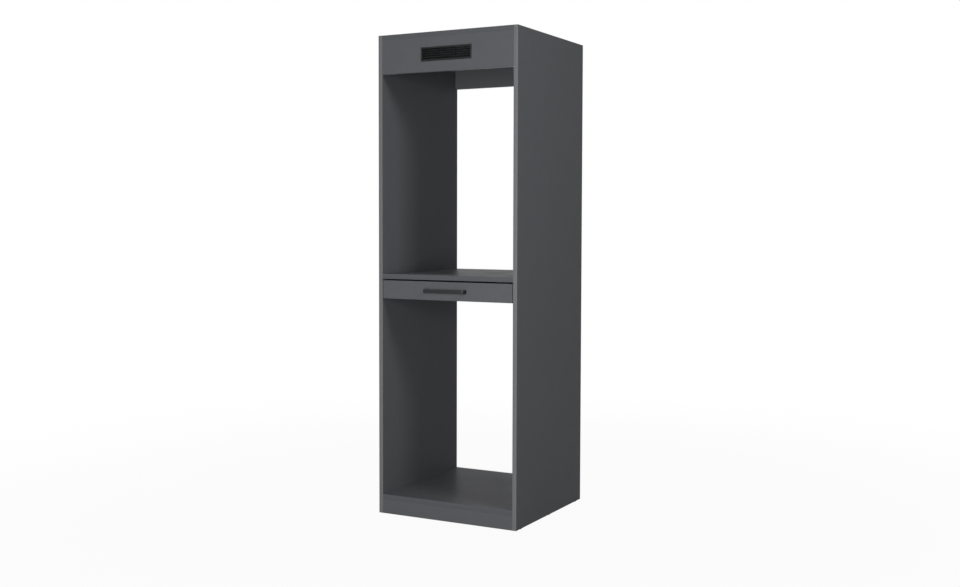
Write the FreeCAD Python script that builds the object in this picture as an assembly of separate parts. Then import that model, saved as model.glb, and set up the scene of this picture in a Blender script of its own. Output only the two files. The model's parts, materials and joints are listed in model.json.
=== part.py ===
import FreeCAD, Part
import math
import os

# Tall open-backed cabinet for a washing machine with a dryer above it and a pull-out between them.
# Millimetres, +Z up, the front faces -Y, X runs to the right as seen from the front.
# The origin is on the floor, under the middle of the whole outline.

# Overall size
WIDTH = 675.0
DEPTH = 665.0
HEIGHT = 2090.0

# Boards and their edge bands
SIDE_T = 19.0
TOP_T = 19.0
RAIL_T = 19.0
SHELF_T = 22.0
BAND_T = 1.0
BAND_CHAMFER = 0.5

# Heights, from the floor up
GLIDE_H = 3.0
PLINTH_H = 62.0
LOWER_BAY_H = 864.0
FRONT_H = 80.0
FRONT_TOP_GAP = 6.0
FASCIA_H = 150.0
MID_RAIL_H = 80.0
REAR_PLINTH_INSET = 60.0

# Wall holes in the rear top rail
WALL_HOLE_R = 3.0
WALL_HOLE_PITCH = 400.0
WALL_HOLE_DROP = 45.0

# Pull-out
FRONT_T = 19.0
FRONT_SIDE_GAP = 3.0
BOARD_T = 16.0
BOARD_DROP = 8.0
BOARD_SIDE_GAP = 4.0
BOARD_REAR_RUN = 8.0
CLEAT_T = 16.0
CLEAT_LIP = 2.5
CLEAT_CAM_AT = 0.3
CLEAT_DOWEL_AT = 0.78
BOARD_DOWELS_AT = (0.25, 0.75)
REAR_DOWELS_AT = (0.25, 0.75)
FRONT_DOWEL_AT = 0.6

# Bow handle
HANDLE_PITCH = 192.0
HANDLE_LEG = 8.0
HANDLE_BAR = 8.0
HANDLE_H = 16.0
HANDLE_PROJECTION = 30.0
HANDLE_OUTER_R = 8.0
HANDLE_INNER_R = 4.0
HANDLE_CHAMFER = 1.0
HANDLE_BLIND = 12.0
HANDLE_GRIP = 8.0

# Telescopic ball-bearing slides
SLIDE_W = 12.7
SLIDE_H = 45.0
SLIDE_BOARD_GAP = 2.5
SLIDE_FRONT_GAP = 2.0
SLIDE_REAR_GAP = 75.0
SIDE_SCREWS_AT = (0.07, 0.5, 0.93)
CLEAT_SCREWS_AT = (0.15, 0.85)
ACCESS_AT = (0.3, 0.55)
ACCESS_R = 5.0
SLOTS_AT = (0.06, 0.5)
SLOT_R = 2.2
SLOT_L = 7.0
SLOT_SIDES = 6
STOP_H = 12.0
STOP_GAP = 0.3
STEEL_T = 1.2
BALL_R = 2.0
RACE_GAP = 0.2
HOOK_FROM_ANGLE = 20.0
HOOK_TO_ANGLE = 180.0
GROOVE_FROM_ANGLE = 240.0
GROOVE_TO_ANGLE = 330.0
INNER_GROOVE_FROM_ANGLE = 245.0
INNER_GROOVE_TO_ANGLE = 315.0
CAGE_T = 0.6
CAGE_TO_SIDE = 1.7
CAGE_TO_CLEAT = 3.5
CAGE_PART = 0.36
BALLS_PER_ROW = 3
BALL_SIDES = 6
BALL_LOW_ANGLE = 22.5
BALL_HIGH_ANGLE = 67.5

# Ventilation grille
GRILLE_W = 245.0
GRILLE_H = 60.0
GRILLE_FLANGE_T = 2.0
GRILLE_FLANGE_W = 6.0
GRILLE_WALL = 2.0
GRILLE_DEPTH = 15.0
GRILLE_FIT = 0.4
LOUVRES = 5
LOUVRE_T = 1.8
LOUVRE_DEPTH = 12.0
LOUVRE_ANGLE = 38.0
RIBS = 2
RIB_T = 2.0

# Fasteners
FASTENER_SIDES = 8
DOWEL_SIDES = 6
DOWEL_R = 4.0
DOWEL_SHORT = 11.0
DOWEL_LONG = 22.0
DOWEL_FIT = 0.1
CAM_R = 7.5
CAM_BACKSET = 34.0
CAM_BELOW = 4.5
CAM_FIT = 0.15
BOLT_SIDES = 6
BOLT_R = 2.8
BOLT_THREAD_L = 10.0
BOLT_HEAD_R = 3.4
BOLT_HEAD_L = 3.0
BOLT_BORE_R = 4.0
BOLT_FIT = 0.1
CAM_BORE_R = 3.8
GLIDE_SIDES = 12
GLIDE_R = 8.5
GLIDE_NAIL_R = 1.2
GLIDE_NAIL_L = 12.0
GLIDE_EDGE = 50.0
EURO_R = 3.0
EURO_L = 11.0
EURO_HEAD_R = 4.2
WOOD_SCREW_R = 1.8
WOOD_SCREW_L = 12.0
WOOD_SCREW_HEAD_R = 3.6
FLAT_HEAD_T = 1.6
M4_R = 2.0
M4_HEAD_R = 4.0
M4_HEAD_T = 2.6
SCREW_FIT = 0.15
PANEL_CAM_EDGE = 85.0
PANEL_DOWEL_EDGE = 45.0

# Places that follow from the sizes above
INNER_X = WIDTH / 2 - SIDE_T
FRONT_Y = (HANDLE_PROJECTION - DEPTH) / 2
BACK_Y = FRONT_Y + DEPTH
CORE_Y = FRONT_Y + BAND_T
FLOOR_Z0 = GLIDE_H + PLINTH_H
FLOOR_Z1 = FLOOR_Z0 + SHELF_T
FRONT_Z0 = FLOOR_Z1 + LOWER_BAY_H
FRONT_Z1 = FRONT_Z0 + FRONT_H
SHELF_Z0 = FRONT_Z1 + FRONT_TOP_GAP
SHELF_Z1 = SHELF_Z0 + SHELF_T
TOP_Z0 = HEIGHT - TOP_T
FASCIA_Z0 = TOP_Z0 - FASCIA_H
FASCIA_MID = FASCIA_Z0 + FASCIA_H / 2
FRONT_BACK = FRONT_Y + FRONT_T
FRONT_MID = FRONT_Z0 + FRONT_H / 2
FRONT_X = INNER_X - FRONT_SIDE_GAP
SLIDE_Y0 = FRONT_BACK + SLIDE_FRONT_GAP
SLIDE_L = DEPTH - FRONT_T - RAIL_T - SLIDE_FRONT_GAP - SLIDE_REAR_GAP
SLIDE_Y1 = SLIDE_Y0 + SLIDE_L
BOARD_Z1 = FRONT_Z1 - BOARD_DROP
BOARD_Z0 = BOARD_Z1 - BOARD_T
BOARD_Y1 = SLIDE_Y1 + BOARD_REAR_RUN
SLIDE_Z = BOARD_Z0 - SLIDE_BOARD_GAP - SLIDE_H / 2
CLEAT_Z0 = SLIDE_Z - SLIDE_H / 2 - CLEAT_LIP
CLEAT_X1 = INNER_X - SLIDE_W
CLEAT_X0 = CLEAT_X1 - CLEAT_T
CLEAT_MID_X = (CLEAT_X0 + CLEAT_X1) / 2

AX = FreeCAD.Vector(1, 0, 0)
AY = FreeCAD.Vector(0, 1, 0)
AZ = FreeCAD.Vector(0, 0, 1)

boards = {}
holes = {}
groups = {}


def vec(x, y, z):
    return FreeCAD.Vector(x, y, z)


def box(x0, x1, y0, y1, z0, z1):
    """A block between two corners."""
    return Part.makeBox(x1 - x0, y1 - y0, z1 - z0, vec(x0, y0, z0))


def corners(centre, direction, radius, sides):
    """The corners of a regular outline round a point. Outlines along one direction line up."""
    first = (AX if abs(direction.z) > 0.5 else AZ).cross(direction).normalize()
    second = direction.cross(first)
    turns = [2 * math.pi * i / sides for i in range(sides)]
    return [centre + first * (radius * math.cos(t)) + second * (radius * math.sin(t)) for t in turns]


def outline(points):
    """A flat face inside a closed run of points."""
    return Part.Face(Part.makePolygon(points + points[:1]))


def rod(start, direction, radius, length, sides=FASTENER_SIDES):
    """A prism for fasteners and their holes, which repeat too often to be round."""
    return outline(corners(start, direction, radius, sides)).extrude(direction * length)


def ball(centre):
    """A ball of a slide, with few faces: four rings of corners from the bottom to the top."""
    rings = []
    for angle in (-BALL_HIGH_ANGLE, -BALL_LOW_ANGLE, BALL_LOW_ANGLE, BALL_HIGH_ANGLE):
        level = math.radians(angle)
        at = centre + AZ * (BALL_R * math.sin(level))
        rings.append(corners(at, AZ, BALL_R * math.cos(level), BALL_SIDES))
    faces = [outline(rings[0][::-1]), outline(rings[-1])]
    for low, high in zip(rings, rings[1:]):
        for i in range(BALL_SIDES):
            j = (i + 1) % BALL_SIDES
            faces.append(outline([low[i], low[j], high[j], high[i]]))
    return Part.makeSolid(Part.makeShell(faces))


def joined(shapes):
    """One solid from shapes that touch or overlap."""
    return shapes[0].multiFuse(shapes[1:]).removeSplitter()


def board(name, x0, x1, y0, y1, z0, z1):
    """Starts a board. Its holes are collected and cut at the end."""
    boards[name] = box(x0, x1, y0, y1, z0, z1)
    holes[name] = []


def drill(names, cutter):
    for name in names:
        holes[name].append(cutter)


def keep(group, solid):
    groups.setdefault(group, []).append(solid)


def dowel(point, into, deep_board, shallow_board, group):
    """A wooden dowel across a joint. The direction runs into the board with the longer hole."""
    length = DOWEL_SHORT + DOWEL_LONG
    keep(group, rod(point - into * DOWEL_SHORT, into, DOWEL_R, length, DOWEL_SIDES))
    start = point - into * (DOWEL_SHORT + DOWEL_FIT)
    hole = rod(start, into, DOWEL_R + DOWEL_FIT, length + 2 * DOWEL_FIT, DOWEL_SIDES)
    drill([deep_board, shallow_board], hole)


def cam(point, into, face, half_t, cam_board, bolt_board, housings, bolts):
    """A cam connector: the bolt is screwed into one board, the cam sits in a pocket of the other.

    The direction runs into the cam's board, and face points from the bolt to the pocket's mouth.
    """
    centre = point + into * CAM_BACKSET
    depth = half_t + CAM_BELOW
    mouth = centre + face * half_t
    drill([cam_board], rod(mouth, face * -1, CAM_R, depth))
    drill([cam_board], rod(point, into, BOLT_BORE_R, CAM_BACKSET, BOLT_SIDES))
    thread_from = point - into * (BOLT_THREAD_L + BOLT_FIT)
    drill([bolt_board], rod(thread_from, into, BOLT_R + BOLT_FIT, BOLT_THREAD_L + BOLT_FIT, BOLT_SIDES))
    # The housing is a drum with a bore for the bolt's head
    drum = rod(centre + face * (half_t - CAM_FIT), face * -1, CAM_R - CAM_FIT, depth - 2 * CAM_FIT)
    bore_from = point + into * (CAM_BACKSET - CAM_R)
    bore = rod(bore_from, into, CAM_BORE_R, CAM_R + BOLT_HEAD_L, BOLT_SIDES)
    keep(housings, drum.cut(bore))
    shaft_l = BOLT_THREAD_L + CAM_BACKSET - BOLT_HEAD_L / 2
    shaft_end = point + into * (shaft_l - BOLT_THREAD_L)
    keep(bolts, joined([
        rod(point - into * BOLT_THREAD_L, into, BOLT_R, shaft_l, BOLT_SIDES),
        rod(shaft_end, into, BOLT_HEAD_R, BOLT_HEAD_L, BOLT_SIDES),
    ]))


def screw(tip_side, direction, shank_r, shank_l, head_r, head_t):
    """A screw with its head's seat at the point, the shank running along the direction."""
    return joined([
        rod(tip_side, direction, shank_r, shank_l),
        rod(tip_side - direction * head_t, direction, head_r, head_t),
    ])


def band(node, away, x0, x1, y0, y1, z0, z1):
    """An edge band. The two long edges of the face that looks away from the board are broken."""
    strip = box(x0, x1, y0, y1, z0, z1)
    reach = max(v.Point.dot(away) for v in strip.Vertexes)
    facing = [e for e in strip.Edges if all(v.Point.dot(away) > reach - BAND_T / 2 for v in e.Vertexes)]
    longest = max(e.Length for e in facing)
    long_edges = [e for e in facing if e.Length > longest - BAND_T]
    keep(node, strip.makeChamfer(BAND_CHAMFER, long_edges))


def carcass_boards():
    """The two sides and every board that runs between them."""
    half = WIDTH / 2
    board("left_side_panel", -half, -INNER_X, CORE_Y, BACK_Y, GLIDE_H, HEIGHT)
    board("right_side_panel", INNER_X, half, CORE_Y, BACK_Y, GLIDE_H, HEIGHT)
    board("top_panel", -INNER_X, INNER_X, CORE_Y, BACK_Y, TOP_Z0, HEIGHT)
    board("dryer_shelf", -INNER_X, INNER_X, CORE_Y, BACK_Y, SHELF_Z0, SHELF_Z1)
    board("washer_floor", -INNER_X, INNER_X, CORE_Y, BACK_Y, FLOOR_Z0, FLOOR_Z1)
    rear = BACK_Y - RAIL_T
    front = FRONT_Y + RAIL_T
    board("top_fascia", -INNER_X, INNER_X, FRONT_Y, front, FASCIA_Z0 + BAND_T, TOP_Z0)
    board("rear_top_rail", -INNER_X, INNER_X, rear, BACK_Y, FASCIA_Z0 + BAND_T, TOP_Z0)
    mid_z0 = SHELF_Z0 - MID_RAIL_H + BAND_T
    board("rear_mid_rail", -INNER_X, INNER_X, rear, BACK_Y, mid_z0, SHELF_Z0)
    board("front_plinth", -INNER_X, INNER_X, FRONT_Y, front, GLIDE_H, FLOOR_Z0)
    plinth_back = BACK_Y - REAR_PLINTH_INSET
    board("rear_plinth", -INNER_X, INNER_X, plinth_back - RAIL_T, plinth_back, GLIDE_H, FLOOR_Z0)


def carcass_bands():
    """Edge bands on the visible edges of the carcass."""
    front = AY * -1
    half = WIDTH / 2
    band("left_edge_band", front, -half, -INNER_X, FRONT_Y, CORE_Y, GLIDE_H, HEIGHT)
    band("right_edge_band", front, INNER_X, half, FRONT_Y, CORE_Y, GLIDE_H, HEIGHT)
    for z0, z1 in ((TOP_Z0, HEIGHT), (SHELF_Z0, SHELF_Z1), (FLOOR_Z0, FLOOR_Z1)):
        band("board_edge_bands", front, -INNER_X, INNER_X, FRONT_Y, CORE_Y, z0, z1)
    rear = BACK_Y - RAIL_T
    lower_edges = (
        (FRONT_Y, FRONT_Y + RAIL_T, FASCIA_Z0),
        (rear, BACK_Y, FASCIA_Z0),
        (rear, BACK_Y, SHELF_Z0 - MID_RAIL_H),
    )
    for y0, y1, z0 in lower_edges:
        band("rail_edge_bands", AZ * -1, -INNER_X, INNER_X, y0, y1, z0, z0 + BAND_T)


def carcass_joints():
    """Cam connectors and dowels between the sides and the boards between them."""
    down = AZ * -1
    back = AY
    panels = (
        ("top_panel", TOP_Z0 + TOP_T / 2, TOP_T / 2),
        ("dryer_shelf", SHELF_Z0 + SHELF_T / 2, SHELF_T / 2),
        ("washer_floor", FLOOR_Z0 + SHELF_T / 2, SHELF_T / 2),
    )
    front_mid = FRONT_Y + RAIL_T / 2
    rear_mid = BACK_Y - RAIL_T / 2
    plinth_z = GLIDE_H + PLINTH_H / 2
    plinth_y = BACK_Y - REAR_PLINTH_INSET - RAIL_T / 2
    mid_z = SHELF_Z0 - MID_RAIL_H / 2
    tall_dowels = (FASCIA_MID - FASCIA_H / 3, FASCIA_MID + FASCIA_H / 3)
    # Each rail has its name, its Y, the Z of its cam and the Z of its dowels
    rails = (
        ("top_fascia", front_mid, FASCIA_MID, tall_dowels),
        ("rear_top_rail", rear_mid, FASCIA_MID, tall_dowels),
        ("rear_mid_rail", rear_mid, mid_z + MID_RAIL_H / 4, (mid_z - MID_RAIL_H / 4,)),
        ("front_plinth", front_mid, plinth_z + PLINTH_H / 4, (plinth_z - PLINTH_H / 4,)),
        ("rear_plinth", plinth_y, plinth_z + PLINTH_H / 4, (plinth_z - PLINTH_H / 4,)),
    )
    for sign, side in ((-1, "left_side_panel"), (1, "right_side_panel")):
        into = AX * -sign
        x = sign * INNER_X
        for name, z, half_t in panels:
            for y in (FRONT_Y + PANEL_CAM_EDGE, BACK_Y - PANEL_CAM_EDGE):
                cam(vec(x, y, z), into, down, half_t, name, side, "cam_housings", "cam_bolts")
            for y in (FRONT_Y + PANEL_DOWEL_EDGE, BACK_Y - PANEL_DOWEL_EDGE):
                dowel(vec(x, y, z), into, name, side, "wooden_dowels")
        for name, y, cam_z, dowel_zs in rails:
            cam(vec(x, y, cam_z), into, back, RAIL_T / 2, name, side, "cam_housings", "cam_bolts")
            for z in dowel_zs:
                dowel(vec(x, y, z), into, name, side, "wooden_dowels")


def wall_holes():
    """Two holes in the rear top rail, through which the cabinet is screwed to the wall."""
    for sign in (-1, 1):
        start = vec(sign * WALL_HOLE_PITCH / 2, BACK_Y - RAIL_T, TOP_Z0 - WALL_HOLE_DROP)
        drill(["rear_top_rail"], Part.makeCylinder(WALL_HOLE_R, RAIL_T, start, AY))


def glides():
    """Nail-on glides under the sides."""
    for sign, side in ((-1, "left_side_panel"), (1, "right_side_panel")):
        x = sign * (WIDTH / 2 - SIDE_T / 2)
        for y in (FRONT_Y + GLIDE_EDGE, (FRONT_Y + BACK_Y) / 2, BACK_Y - GLIDE_EDGE):
            foot = vec(x, y, GLIDE_H)
            drill([side], rod(foot, AZ, GLIDE_NAIL_R + SCREW_FIT, GLIDE_NAIL_L + SCREW_FIT))
            keep("floor_glides", joined([
                rod(vec(x, y, 0), AZ, GLIDE_R, GLIDE_H, GLIDE_SIDES),
                rod(foot, AZ, GLIDE_NAIL_R, GLIDE_NAIL_L),
            ]))


def grille():
    """The black ventilation grille: a flange, a collar through the fascia, louvres and ribs."""
    half_w = GRILLE_W / 2
    half_h = GRILLE_H / 2
    in_w = half_w - GRILLE_FLANGE_W
    in_h = half_h - GRILLE_FLANGE_W
    z = FASCIA_MID
    collar_w = in_w + GRILLE_WALL
    collar_h = in_h + GRILLE_WALL
    cut_w = collar_w + GRILLE_FIT
    cut_h = collar_h + GRILLE_FIT
    drill(["top_fascia"], box(-cut_w, cut_w, FRONT_Y, FRONT_Y + RAIL_T, z - cut_h, z + cut_h))
    face_y = FRONT_Y - GRILLE_FLANGE_T
    flange = box(-half_w, half_w, face_y, FRONT_Y, z - half_h, z + half_h)
    rim = [e for e in flange.Edges if all(v.Y < face_y + GRILLE_FLANGE_T / 2 for v in e.Vertexes)]
    flange = flange.makeChamfer(GRILLE_FLANGE_T / 2, rim)
    collar_y1 = FRONT_Y + GRILLE_DEPTH
    collar = box(-collar_w, collar_w, FRONT_Y, collar_y1, z - collar_h, z + collar_h)
    mouth = box(-in_w, in_w, face_y, collar_y1, z - in_h, z + in_h)
    shell = flange.fuse(collar).cut(mouth)
    # Louvres slope down to the front, their ends run into the collar
    pitch = 2 * in_h / LOUVRES
    tilt = math.radians(LOUVRE_ANGLE)
    run = LOUVRE_DEPTH * math.cos(tilt)
    rise = LOUVRE_DEPTH * math.sin(tilt)
    thick = LOUVRE_T / math.cos(tilt)
    end = in_w + GRILLE_WALL / 2
    y0 = FRONT_Y - GRILLE_FLANGE_T / 4
    pieces = [shell]
    for i in range(LOUVRES):
        low = z - in_h + pitch * (i + 0.5) - (rise + thick) / 2
        blade = outline([
            vec(-end, y0, low),
            vec(-end, y0 + run, low + rise),
            vec(-end, y0 + run, low + rise + thick),
            vec(-end, y0, low + thick),
        ])
        pieces.append(blade.extrude(AX * (2 * end)))
    for i in range(RIBS):
        x = -in_w + 2 * in_w * (i + 1) / (RIBS + 1)
        rib_top = in_h + GRILLE_WALL / 2
        pieces.append(box(x - RIB_T / 2, x + RIB_T / 2, y0 + run / 2, collar_y1, z - rib_top, z + rib_top))
    keep("vent_grille", joined(pieces))


def ring_part(centre_u, centre_w, r0, r1, a0, a1, sign, y0, length):
    """Part of a tube along Y, between two angles in the slide's own section."""
    def at(radius, angle):
        u = centre_u + radius * math.cos(math.radians(angle))
        w = centre_w + radius * math.sin(math.radians(angle))
        return vec(sign * (INNER_X - u), y0, SLIDE_Z + w)

    mid = (a0 + a1) / 2
    outer = Part.Arc(at(r1, a0), at(r1, mid), at(r1, a1)).toShape()
    inner = Part.Arc(at(r0, a1), at(r0, mid), at(r0, a0)).toShape()
    ends = [Part.makeLine(at(r1, a1), at(r0, a1)), Part.makeLine(at(r0, a0), at(r1, a0))]
    wire = Part.Wire([outer, ends[0], inner, ends[1]])
    return Part.Face(wire).extrude(AY * length)


def slide_box(u0, u1, w0, w1, sign, y0, length):
    """A block along Y in the slide's own section: u from the side panel inwards, w up."""
    xs = sorted((sign * (INNER_X - u0), sign * (INNER_X - u1)))
    return box(xs[0], xs[1], y0, y0 + length, SLIDE_Z + w0, SLIDE_Z + w1)


def access_holes(sign):
    """The cutters of the holes in a middle member, through which a driver reaches the side screws."""
    places = [vec(sign * INNER_X, SLIDE_Y0 + SLIDE_L * part_of, SLIDE_Z) for part_of in ACCESS_AT]
    return [rod(at, AX * -sign, ACCESS_R, SLIDE_W) for at in places]


def adjusting_slots(sign):
    """The cutters of the upright slots in an inner member, for setting the pull-out's height."""
    slots = []
    half = SLOT_L / 2
    for part_of in SLOTS_AT:
        y = SLIDE_Y0 + SLIDE_L * part_of
        low = rod(vec(sign * INNER_X, y, SLIDE_Z - half), AX * -sign, SLOT_R, SLIDE_W, SLOT_SIDES)
        high = rod(vec(sign * INNER_X, y, SLIDE_Z + half), AX * -sign, SLOT_R, SLIDE_W, SLOT_SIDES)
        between = slide_box(0, SLIDE_W, -half, half, sign, y - SLOT_R, 2 * SLOT_R)
        slots.append(joined([low, between, high]))
    return slots


def slide_cages(sign, name, rows):
    """The ball cages of one slide with their balls, at mid length when the pull-out is closed."""
    cage_l = SLIDE_L * CAGE_PART
    cage_y = (SLIDE_Y0 + SLIDE_Y1 - cage_l) / 2
    pitch = cage_l / BALLS_PER_ROW
    for row, u, w in rows:
        for up in (1, -1):
            low, high = sorted((up * (w - CAGE_T / 3), up * (w + 2 * CAGE_T / 3)))
            strip = slide_box(u - CAGE_TO_SIDE, u + CAGE_TO_CLEAT, low, high, sign, cage_y, cage_l)
            for i in range(BALLS_PER_ROW):
                at = vec(sign * (INNER_X - u), cage_y + pitch * (i + 0.5), SLIDE_Z + up * w)
                keep("%s_%s_balls" % (name, row), ball(at))
                pocket = rod(at - AZ * BALL_R, AZ, BALL_R + RACE_GAP / 2, 2 * BALL_R)
                strip = strip.cut(pocket)
            keep("%s_%s_cage" % (name, row), strip)


def slide(sign, name, side, cleat):
    """One three-part slide: two ball rows between outer and middle, two between middle and inner."""
    race = BALL_R + RACE_GAP
    back = race + STEEL_T
    # The rows of balls: the inner row is one wall of steel further in than the outer row
    step = (2 * race + STEEL_T) / math.sqrt(2)
    out_u = back
    out_w = SLIDE_H / 2 - back
    in_u = out_u + step
    in_w = out_w - step
    span = (SLIDE_Y0, SLIDE_L)

    outer = [slide_box(0, STEEL_T, -out_w, out_w, sign, *span)]
    middle = [slide_box(in_u - back, in_u - race, -in_w, in_w, sign, *span)]
    inner = [slide_box(SLIDE_W - STEEL_T, SLIDE_W, race - in_w, in_w - race, sign, *span)]
    for up in (1, -1):
        def arc(u, w, a0, a1):
            return ring_part(u, up * w, race, back, up * a0, up * a1, sign, *span)

        outer.append(arc(out_u, out_w, HOOK_FROM_ANGLE, HOOK_TO_ANGLE))
        middle.append(arc(out_u, out_w, GROOVE_FROM_ANGLE, GROOVE_TO_ANGLE))
        middle.append(arc(in_u, in_w, HOOK_FROM_ANGLE, HOOK_TO_ANGLE))
        inner.append(arc(in_u, in_w, INNER_GROOVE_FROM_ANGLE, INNER_GROOVE_TO_ANGLE))
        w0, w1 = sorted((up * (in_w - back), up * (in_w - race)))
        inner.append(slide_box(in_u, SLIDE_W, w0, w1, sign, *span))
    # A tab bent in at the rear of the outer member stops the middle one
    tab = (-STOP_H / 2, STOP_H / 2, sign)
    outer.append(slide_box(0, STEEL_T, *tab, SLIDE_Y1, STOP_GAP + STEEL_T))
    outer.append(slide_box(0, in_u, *tab, SLIDE_Y1 + STOP_GAP, STEEL_T))
    solids = {"outer": joined(outer), "middle": joined(middle), "inner": joined(inner)}

    solids["middle"] = solids["middle"].cut(access_holes(sign))
    solids["inner"] = solids["inner"].cut(adjusting_slots(sign))

    x_side = sign * INNER_X
    x_cleat = sign * CLEAT_X1
    out_dir = AX * sign
    in_dir = AX * -sign
    # Screws hold the outer member to the side and the inner member to the cleat
    for part_of in SIDE_SCREWS_AT:
        y = SLIDE_Y0 + SLIDE_L * part_of
        seat = vec(x_side, y, SLIDE_Z) + in_dir * STEEL_T
        keep("slide_side_screws", screw(seat, out_dir, EURO_R, EURO_L + STEEL_T, EURO_HEAD_R, FLAT_HEAD_T))
        bore = rod(seat, out_dir, EURO_R + SCREW_FIT, EURO_L + STEEL_T + SCREW_FIT)
        drill([side], bore)
        solids["outer"] = solids["outer"].cut(bore)
    for part_of in CLEAT_SCREWS_AT:
        y = SLIDE_Y0 + SLIDE_L * part_of
        seat = vec(x_cleat, y, SLIDE_Z) + out_dir * STEEL_T
        length = WOOD_SCREW_L + STEEL_T
        keep("slide_cleat_screws",
             screw(seat, in_dir, WOOD_SCREW_R, length, WOOD_SCREW_HEAD_R, FLAT_HEAD_T))
        bore = rod(seat, in_dir, WOOD_SCREW_R + SCREW_FIT, length + SCREW_FIT)
        drill([cleat], bore)
        solids["inner"] = solids["inner"].cut(bore)
    for member, solid in solids.items():
        keep("%s_slide_%s" % (name, member), solid)

    slide_cages(sign, name, (("outer", out_u, out_w), ("inner", in_u, in_w)))


def pullout():
    """The pull-out: a front with edge bands, a board on two side cleats and a rear cleat."""
    in_x = FRONT_X - BAND_T
    board("pullout_front", -in_x, in_x, FRONT_Y, FRONT_BACK, FRONT_Z0 + BAND_T, FRONT_Z1 - BAND_T)
    node = "pullout_edge_bands"
    across = (-FRONT_X, FRONT_X, FRONT_Y, FRONT_BACK)
    upright = (FRONT_Y, FRONT_BACK, FRONT_Z0 + BAND_T, FRONT_Z1 - BAND_T)
    band(node, AZ * -1, *across, FRONT_Z0, FRONT_Z0 + BAND_T)
    band(node, AZ, *across, FRONT_Z1 - BAND_T, FRONT_Z1)
    band(node, AX * -1, -FRONT_X, -in_x, *upright)
    band(node, AX, in_x, FRONT_X, *upright)
    board_x = INNER_X - BOARD_SIDE_GAP
    board("pullout_board", -board_x, board_x, FRONT_BACK, BOARD_Y1, BOARD_Z0, BOARD_Z1)
    board("pullout_left_cleat", -CLEAT_X1, -CLEAT_X0, FRONT_BACK, BOARD_Y1, CLEAT_Z0, BOARD_Z0)
    board("pullout_right_cleat", CLEAT_X0, CLEAT_X1, FRONT_BACK, BOARD_Y1, CLEAT_Z0, BOARD_Z0)
    rear = BOARD_Y1 - CLEAT_T
    board("pullout_rear_cleat", -CLEAT_X0, CLEAT_X0, rear, BOARD_Y1, CLEAT_Z0, BOARD_Z0)
    cleat_h = BOARD_Z0 - CLEAT_Z0
    length = BOARD_Y1 - FRONT_BACK
    group = "pullout_dowels"
    for sign, name in ((-1, "pullout_left_cleat"), (1, "pullout_right_cleat")):
        x = sign * CLEAT_MID_X
        low = vec(x, FRONT_BACK, CLEAT_Z0 + CLEAT_CAM_AT * cleat_h)
        cam(low, AY, AX * -sign, CLEAT_T / 2, name, "pullout_front", "pullout_cams", "pullout_cam_bolts")
        dowel(vec(x, FRONT_BACK, CLEAT_Z0 + CLEAT_DOWEL_AT * cleat_h), AY, name, "pullout_front", group)
        for part_of in BOARD_DOWELS_AT:
            y = FRONT_BACK + length * part_of
            dowel(vec(x, y, BOARD_Z0), AZ * -1, name, "pullout_board", group)
        for part_of in REAR_DOWELS_AT:
            at = vec(sign * CLEAT_X0, BOARD_Y1 - CLEAT_T / 2, CLEAT_Z0 + cleat_h * part_of)
            dowel(at, AX * -sign, "pullout_rear_cleat", name, group)
        at = vec(sign * CLEAT_X0 * FRONT_DOWEL_AT, FRONT_BACK, BOARD_Z0 + BOARD_T / 2)
        dowel(at, AY, "pullout_board", "pullout_front", group)


def handle():
    """A bow handle from flat bar, with two screws from behind the front."""
    half = (HANDLE_PITCH + HANDLE_LEG) / 2
    inside = (HANDLE_PITCH - HANDLE_LEG) / 2
    y_out = FRONT_Y - HANDLE_PROJECTION
    y_in = y_out + HANDLE_BAR
    z0 = FRONT_MID - HANDLE_H / 2

    def corner(x, y, radius, sign):
        """The three points of a corner arc, from the leg to the bar."""
        k = radius * (1 - math.sqrt(0.5))
        return (
            vec(sign * x, y + radius, z0),
            vec(sign * (x - k), y + k, z0),
            vec(sign * (x - radius), y, z0),
        )

    out_l = corner(half, y_out, HANDLE_OUTER_R, -1)
    out_r = corner(half, y_out, HANDLE_OUTER_R, 1)
    in_l = corner(inside, y_in, HANDLE_INNER_R, -1)
    in_r = corner(inside, y_in, HANDLE_INNER_R, 1)
    edges = [
        Part.makeLine(vec(-half, FRONT_Y, z0), out_l[0]),
        Part.Arc(*out_l).toShape(),
        Part.makeLine(out_l[2], out_r[2]),
        Part.Arc(out_r[2], out_r[1], out_r[0]).toShape(),
        Part.makeLine(out_r[0], vec(half, FRONT_Y, z0)),
        Part.makeLine(vec(half, FRONT_Y, z0), vec(inside, FRONT_Y, z0)),
        Part.makeLine(vec(inside, FRONT_Y, z0), in_r[0]),
        Part.Arc(*in_r).toShape(),
        Part.makeLine(in_r[2], in_l[2]),
        Part.Arc(in_l[2], in_l[1], in_l[0]).toShape(),
        Part.makeLine(in_l[0], vec(-inside, FRONT_Y, z0)),
        Part.makeLine(vec(-inside, FRONT_Y, z0), vec(-half, FRONT_Y, z0)),
    ]
    bow = Part.Face(Part.Wire(edges)).extrude(AZ * HANDLE_H)
    flat = [e.BoundBox for e in bow.Edges]
    rims = [e for e, b in zip(bow.Edges, flat)
            if b.ZLength < HANDLE_CHAMFER and b.YMin < FRONT_Y - HANDLE_CHAMFER]
    bow = bow.makeChamfer(HANDLE_CHAMFER, rims)
    for sign in (-1, 1):
        x = sign * HANDLE_PITCH / 2
        bow = bow.cut(rod(vec(x, FRONT_Y, FRONT_MID), AY * -1, M4_R + SCREW_FIT, HANDLE_BLIND))
        seat = vec(x, FRONT_BACK, FRONT_MID)
        drill(["pullout_front"], rod(seat, AY * -1, M4_R + SCREW_FIT, FRONT_T))
        bolt = screw(seat, AY * -1, M4_R, FRONT_T + HANDLE_GRIP, M4_HEAD_R, M4_HEAD_T)
        keep("handle_screws", bolt)
    keep("pullout_handle", bow)


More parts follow.
